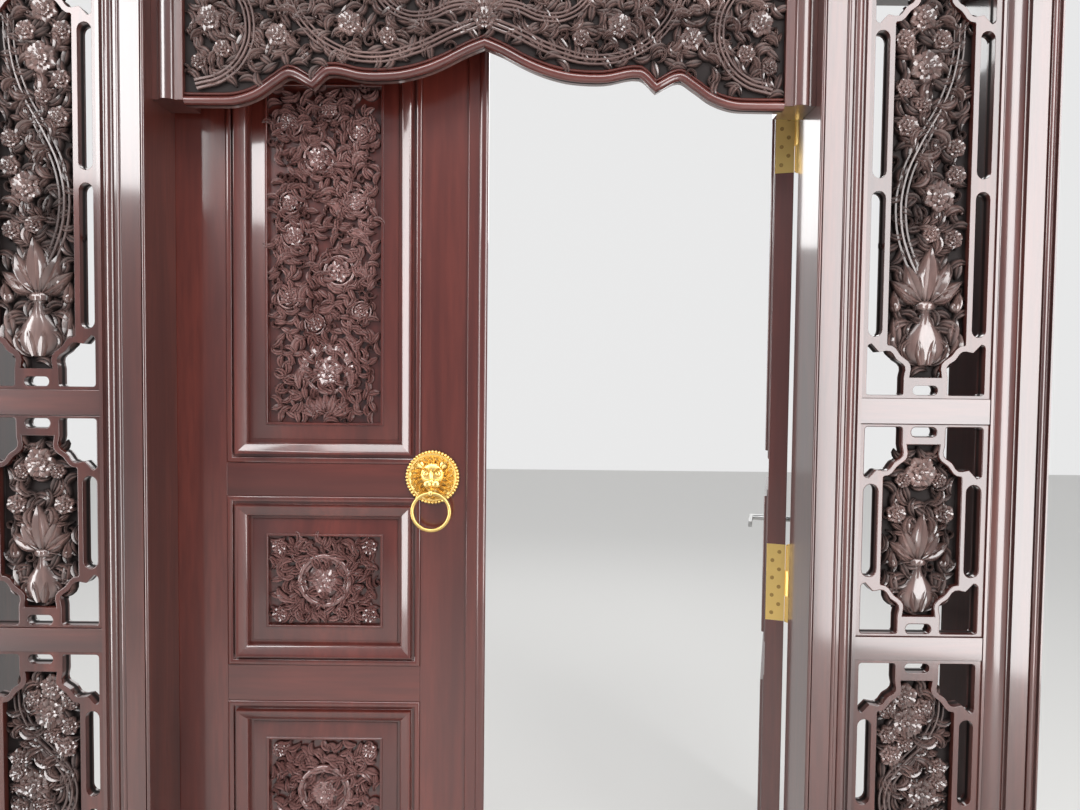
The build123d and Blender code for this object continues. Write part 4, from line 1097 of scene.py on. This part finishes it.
# Valance: a board hung in the head of the doorway. Its lower edge is sawn in scallops with a
# round rim, and above the rim it is carved with long bundles of stems, flowers and leaves.
valance_drop = 0.260
valance_reach = 0.575
valance_face = -0.0425
valance_thickness = 0.018
# The valance carving's tones are lighter and greyer than the rest of the wood, as a painted
# highlight on its crests, and it darkens to a painted shade towards its ground.
valance_wood = wood_material("valance_wood", (0.2, 1.0, 1.0), (0.165, 0.102, 0.090),
                             (0.058, 0.031, 0.027), 1.0, ground=(-0.0446, -0.0520))
wave_points = [(0.0, 0.555), (0.06, 0.61), (0.14, 0.7), (0.21, 0.76), (0.29, 0.8), (0.4, 0.808),
               (0.52, 0.77), (0.574, 0.87), (0.65, 0.79), (0.7, 0.85), (0.76, 0.94), (0.83, 0.992),
               (0.9, 1.0), (1.0, 1.0)]
wave_sharp = (0, 7)


def smooth_wave():
    # The right half of the rim, eased between its points but sharp at the cusps.
    line = []
    for number in range(len(wave_points) - 1):
        x0, y0 = wave_points[number]
        x1, y1 = wave_points[number + 1]
        before = wave_points[number - 1] if number > 0 and number not in wave_sharp else (x0, y0)
        after = wave_points[min(number + 2, len(wave_points) - 1)]
        if number + 1 in wave_sharp:
            after = (x1, y1)
        slope0 = (y1 - before[1]) / (x1 - before[0])
        slope1 = (after[1] - y0) / (after[0] - x0)
        for step in range(5):
            t = step / 5
            bow0 = t * (1 - t) * (1 - t) * (x1 - x0) * slope0
            bow1 = t * t * (t - 1) * (x1 - x0) * slope1
            ease = t * t * (3 - 2 * t)
            line.append((x0 + (x1 - x0) * t, y0 + (y1 - y0) * ease + bow0 + bow1))
    line.append(wave_points[-1])
    return [(x * valance_reach, doorway_top - y * valance_drop) for x, y in line]


right_wave = smooth_wave()
full_wave = [(-x, z) for x, z in reversed(right_wave)] + right_wave[1:]
valance_outline = full_wave + [(valance_reach, doorway_top), (-valance_reach, doorway_top)]
valance = solid_from("valance_worked", [(x, valance_face, z) for x, z in valance_outline],
                     (0, valance_thickness, 0))
soften_edges(valance, 0.0012, 60)


def rim_strip(name, inset, half_height, rise):
    # A rounded fillet that follows the scallops, set back from the edge by inset.
    curve = bpy.data.curves.new(name, "CURVE")
    curve.dimensions = "3D"
    curve.bevel_depth = half_height
    curve.bevel_resolution = 3
    curve.use_fill_caps = True
    spline = curve.splines.new("POLY")
    spline.points.add(len(full_wave) - 1)
    for point, (x, z) in zip(spline.points, full_wave):
        point.co = (x, 0, z + inset, 1)
    fillet = add_object(name, curve)
    select_only(fillet)
    bpy.ops.object.convert(target="MESH")
    with editing(fillet):
        bpy.ops.transform.resize(value=(1, rise / half_height, 1), center_override=(0, 0, 0))
        bpy.ops.transform.translate(value=(0, valance_face, 0))
        for side in (1, -1):
            bpy.ops.mesh.select_all(action="SELECT")
            bpy.ops.mesh.bisect(plane_co=(side * valance_reach, 0, 0), plane_no=(side, 0, 0),
                                clear_outer=True, use_fill=True)
    bpy.ops.object.shade_smooth_by_angle(angle=math.radians(50))
    return fillet


lower_rim = rim_strip("valance_rim", 0.0085, 0.0085, 0.0095)
upper_rim = rim_strip("valance_rim_fillet", 0.021, 0.0030, 0.0060)


def rim_height(x):
    # How far the rim hangs below the head of the doorway at x.
    share = min(abs(x) / valance_reach, 1)
    for (x0, y0), (x1, y1) in zip(wave_points, wave_points[1:]):
        if share <= x1:
            return (y0 + (y1 - y0) * (share - x0) / (x1 - x0)) * valance_drop
    return valance_drop


def in_valance(x, y, margin=0.012):
    return abs(x) < valance_reach - margin and -rim_height(x) + 0.022 + margin < y < -margin * 0.4


work = Carving(carving_plane(0, valance_face, doorway_top))
work.fill(in_valance, (-valance_reach, -valance_drop), (valance_reach, 0), 0.0205, 0.80)
for side in (-1, 1):
    flip = side < 0
    for points, spread in (
            ([(0.012, -0.100), (0.060, -0.118), (0.130, -0.150), (0.215, -0.168),
              (0.290, -0.150), (0.345, -0.105), (0.375, -0.050)], 0.0072),
            ([(0.010, -0.066), (0.060, -0.070), (0.110, -0.088), (0.160, -0.084),
              (0.200, -0.050), (0.215, -0.010)], 0.0066),
            ([(0.552, -0.222), (0.500, -0.206), (0.462, -0.168), (0.448, -0.110),
              (0.468, -0.050), (0.510, -0.016)], 0.0070)):
        work.bundle([(side * x, y) for x, y in points], spread * 1.15, 0.0038, 0.0050)
    for x, y, size in ((0.064, -0.026, 0.95), (0.150, -0.036, 0.85), (0.185, -0.128, 0.85),
                       (0.258, -0.104, 1.15), (0.262, -0.034, 0.95), (0.320, -0.040, 0.80),
                       (0.395, -0.128, 1.10), (0.410, -0.034, 0.95), (0.526, -0.098, 1.2),
                       (0.500, -0.155, 0.85), (0.545, -0.180, 0.75), (0.548, -0.032, 0.8)):
        work.stamp(flower, side * x, y, 60 * x * 10, size, 1.0, 0.003)
    for x, y, turn, size, flipped in (
            (0.034, -0.040, 30, 0.9, False), (0.090, -0.050, 20, 0.8, True),
            (0.100, -0.118, 10, 0.75, False), (0.160, -0.112, -5, 0.8, False),
            (0.226, -0.128, 60, 0.85, True), (0.230, -0.072, 100, 0.85, False),
            (0.290, -0.078, 30, 0.9, True), (0.300, -0.120, 70, 0.8, False),
            (0.350, -0.150, 0, 0.9, False), (0.356, -0.090, 60, 0.9, True),
            (0.420, -0.160, 20, 0.8, True), (0.425, -0.080, 80, 0.9, False),
            (0.480, -0.120, 60, 0.8, False), (0.500, -0.060, 30, 0.85, True),
            (0.520, -0.190, 60, 0.75, False), (0.560, -0.140, 100, 0.7, False),
            (0.300, -0.012, -30, 0.8, True), (0.180, -0.020, -20, 0.8, False)):
        bearing = turn if side > 0 else 180 - turn
        work.stamp(spray, side * x, y, bearing, size, 0.95, 0.001,
              flipped != flip)
    for x, y, turn, size in ((0.240, -0.160, 20, 0.7), (0.330, -0.172, 8, 0.75),
                             (0.140, -0.130, -20, 0.6), (0.450, -0.196, -40, 0.75)):
        bearing = turn if side > 0 else 180 - turn
        work.stamp(scroll, side * x, y, bearing, size, 1.0, 0, flip)
work.stamp(lotus, 0, -0.080, 0, 1.15, 1.0)
work.stamp(flower, 0, -0.092, 0, 1.1, 1.1, 0.004)
dress(valance, valance_wood, "frame", "carved_wood", "valance_board")
dress(lower_rim, level_wood, "frame", "carved_wood")
dress(upper_rim, level_wood, "frame", "carved_wood")
dress(work.joined("valance_carving"), valance_wood, "frame", "carved_wood")

# Blocks at the ends of the valance: short posts with one big half-round reed on the face.
block_back = 0.0275
block_front = -0.0525
block_outline = [(-doorway_half, block_back), (-valance_reach, block_back),
                 (-valance_reach, block_front), (-0.5918, block_front)]
for step in range(roll_steps + 1):
    angle = math.pi * step / roll_steps
    block_outline.append((-0.6068 + 0.0150 * math.cos(angle),
                          block_front - 0.008 * math.sin(angle)))
block_outline += [(-0.6218, block_front), (-doorway_half, block_front)]
left_block = upright_solid("left_valance_block_worked", block_outline, 1.812, doorway_top)
soften_edges(left_block, 0.0010)
for piece in (left_block, mirrored(left_block, "right_valance_block_worked")):
    dress(piece, frame_wood, "frame", "carved_wood", piece.name.replace("_worked", ""))

# Pull: a cast brass plate with a petalled rim and a lion's head, screwed to the meeting stile
# through a boss; its jaw holds a ring that swings.
pull_x = -0.107
pull_level = 1.080
pin_y = 0.0175
pin_level = 1.050
ring_radius = 0.03825


def metal_material(name, colour, roughness):
    material, tree = new_material(name)
    set_inputs(tree, tree.nodes["Principled BSDF"],
               {"Base Color": (*colour, 1), "Metallic": 1.0, "Roughness": roughness})
    return material


brass = metal_material("brass", (0.76, 0.53, 0.19), 0.36)


def turned_disc(name, profile):
    # A round piece spun from its profile of radius and height.
    mesh = bpy.data.meshes.new(name)
    mesh.from_pydata([(radius, 0, height) for radius, height in profile],
                     [(number, number + 1) for number in range(len(profile) - 1)], [])
    disc = add_object(name, mesh)
    with editing(disc):
        bpy.ops.mesh.spin(steps=64, angle=2 * math.pi, center=(0, 0, 0), axis=(0, 0, 1))
        weld_points(2 * weld)
    bpy.ops.object.shade_smooth_by_angle(angle=math.radians(30))
    return disc


plate_disc = turned_disc("plate_disc", [
    (0.0, 0.0), (0.032, 0.0), (0.032, 0.0044), (0.0495, 0.0044), (0.0505, 0.0056),
    (0.0495, 0.0070), (0.0465, 0.0078), (0.0440, 0.0064), (0.0420, 0.0064), (0.0400, 0.0088),
    (0.0380, 0.0094), (0.0355, 0.0094), (0.0330, 0.0080), (0.0, 0.0080)])
work = Carving(carving_plane(pull_x, leaf_front, pull_level))
work.stamp(plate_disc, 0, 0)
rim_lobe = carve_button("rim_lobe", 0.0036, 0.0034, 3, 10)
rope_bead = carve_button("rope_bead", 0.0021, 0.0026, 3, 8)
skull = carve_button("skull", 0.0190, 0.0105, 8, 28)
cheek = carve_button("cheek", 0.0078, 0.0085, 5, 16)
for motif, count, reach, size, rise, lift, lean in (
        (rim_lobe, 48, 0.0527, 1.0, 1.0, 0.0040, 0), (rope_bead, 44, 0.0430, 1.0, 1.0, 0.0060, 0),
        (hook_leaf, 20, 0.0255, 0.40, 0.50, 0.0078, -40),
        (hook_leaf, 17, 0.0205, 0.38, 0.50, 0.0096, -20)):
    for number in range(count):
        bearing = 360 * number / count
        work.stamp(motif, *polar(reach, bearing), bearing + lean, size, rise, lift)
for x, y, size, rise, lift in ((0, 0.007, 1.32, 1.0, 0.0085), (0, -0.0095, 1.06, 1.05, 0.0085),
                               (0, -0.0220, 0.72, 0.75, 0.0085)):
    work.stamp(skull, x, y, 0, size, rise, lift)
for side in (-1, 1):
    for motif, x, y, turn, size, rise, lift, flip in (
            (cheek, 0.0085, -0.0125, 0, 1.30, 0.95, 0.0145, False),
            (cheek, 0.0125, 0.0085, 0, 0.95, 0.60, 0.0150, False),
            (rope_bead, 0.0110, 0.0070, 0, 1.70, 1.4, 0.0180, False),
            (petal, 0.0190, 0.0205, 52, 0.90, 0.8, 0.0120, False),
            (lance_leaf, 0.0035, 0.0125, 28, 0.38, 0.45, 0.0175, True),
            (hook_leaf, 0.0060, -0.0235, 20, 0.30, 0.40, 0.0150, False)):
        work.stamp(motif, side * x, y, turn if side > 0 else 180 - turn, size, rise, lift,
                   flip != (side < 0))
work.stamp(lance_leaf, 0, -0.0080, 90, 0.60, 0.42, 0.0165)
work.stamp(cheek, 0, -0.0065, 0, 0.78, 0.75, 0.0170)
dress(work.joined("pull_lion_plate"), brass, "left_leaf", "brass", "pull_plate")
for pattern in (plate_disc, rim_lobe, rope_bead, skull, cheek):
    bpy.data.objects.remove(pattern)

# The eye that the ring hangs in, in one piece with the jaw
eye = add_shape(bpy.ops.mesh.primitive_torus_add, "pull_ring_eye", major_radius=0.0060,
                minor_radius=0.00155, major_segments=32, minor_segments=12,
                location=(pull_x, pin_y, pin_level), rotation=(0, math.pi / 2, 0))
with editing(eye):
    bpy.ops.transform.resize(value=(2.6, 1, 1), center_override=(pull_x, pin_y, pin_level))
bpy.ops.object.shade_smooth()
jaw = add_shape(bpy.ops.mesh.primitive_cube_add, "pull_jaw", size=1,
                scale=(0.0085, 0.0150, 0.0125), location=(pull_x, 0.0310, pin_level))
soften_edges(jaw, 0.0020, 30, 3)
dress(gather("pull_ring_eye", [eye, jaw]), brass, "left_leaf", "brass")
swing_ring = add_shape(bpy.ops.mesh.primitive_torus_add, "pull_ring_cast",
                       major_radius=ring_radius, minor_radius=0.00375, major_segments=96,
                       minor_segments=20, location=(pull_x, pin_y, pin_level - ring_radius),
                       rotation=upright)
bpy.ops.object.shade_smooth()
dress(swing_ring, brass, "ring", "brass", "pull_ring")

# Hinges: brass butt hinges with rounded edges, let into the jamb and the leaf and held by
# countersunk screws in a staggered double row; the pins have small domed tips.
dark_brass = metal_material("dark_brass", (0.42, 0.27, 0.10), 0.42)
for name in ("left_jamb_hinge_plates", "right_jamb_hinge_plates", "left_leaf_hinge_plates",
             "right_leaf_hinge_plates", "left_hinge_pins", "right_hinge_pins"):
    dress(planed_copy(name, 0.0006, 40), brass, nodes[name]["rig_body"], "brass", name)

# A countersunk head with a cross cut in it, seen from its face
screw_radius = 0.0042
screw_depth = 0.0012
hinge_screw = add_shape(bpy.ops.mesh.primitive_cylinder_add, "screw_pattern", vertices=16,
                        radius=screw_radius, depth=screw_depth)
for turn in (0, 90):
    bpy.ops.mesh.primitive_cube_add(size=1, location=(0, 0, screw_depth / 2))
    cross = bpy.context.object
    cross.scale = (screw_radius * 1.3, screw_radius * 0.26, 0.0010)
    cross.rotation_euler = (0, 0, math.radians(turn))
    subtract(hinge_screw, cross)


def side_plane(x, turn):
    return Matrix.Translation((x, 0, 0)) @ Matrix.Rotation(math.radians(turn), 4, "Y")


jamb_work = Carving(side_plane(-jamb_face - 0.0001, 90))
leaf_work = Carving(side_plane(-0.6469, -90))
for level in hinge_levels:
    for number in range(8):
        z = level - 0.066 + number * 0.0189
        y = leaf_back - (0.012 if number % 2 else 0.026)
        jamb_work.stamp(hinge_screw, -z, y, 31 * number)
        leaf_work.stamp(hinge_screw, z, y, 47 * number)
bpy.data.objects.remove(hinge_screw)
dress_both(jamb_work.joined("left_jamb_hinge_screws"), dark_brass, "brass")
dress_leaves(leaf_work.joined("left_leaf_hinge_screws"), dark_brass, dark_brass, "brass")

# Lever lock and bolts: satin steel plates with softened edges, round necks and flat levers;
# the bolts are let into the back of the left leaf.
steel = metal_material("steel", (0.55, 0.55, 0.54), 0.32)
for name in ("lock_case", "handle_plates", "lever_handles", "bolt_plates", "upper_bolt",
             "lower_bolt"):
    metal_part = planed_copy(name, 0.0012 if name == "lever_handles" else 0.0006, 40)
    dress(metal_part, steel, nodes[name]["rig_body"], "steel", name)

# The single motifs were patterns for the carvings and aren't pieces of the door.
for pattern in (lance_leaf, hook_leaf, scroll, petal, bud, flower, spray, lotus, vase, bowl_petal,
                loop_pattern, rosette):
    bpy.data.objects.remove(pattern)

bpy.context.view_layer.update()
low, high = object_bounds()
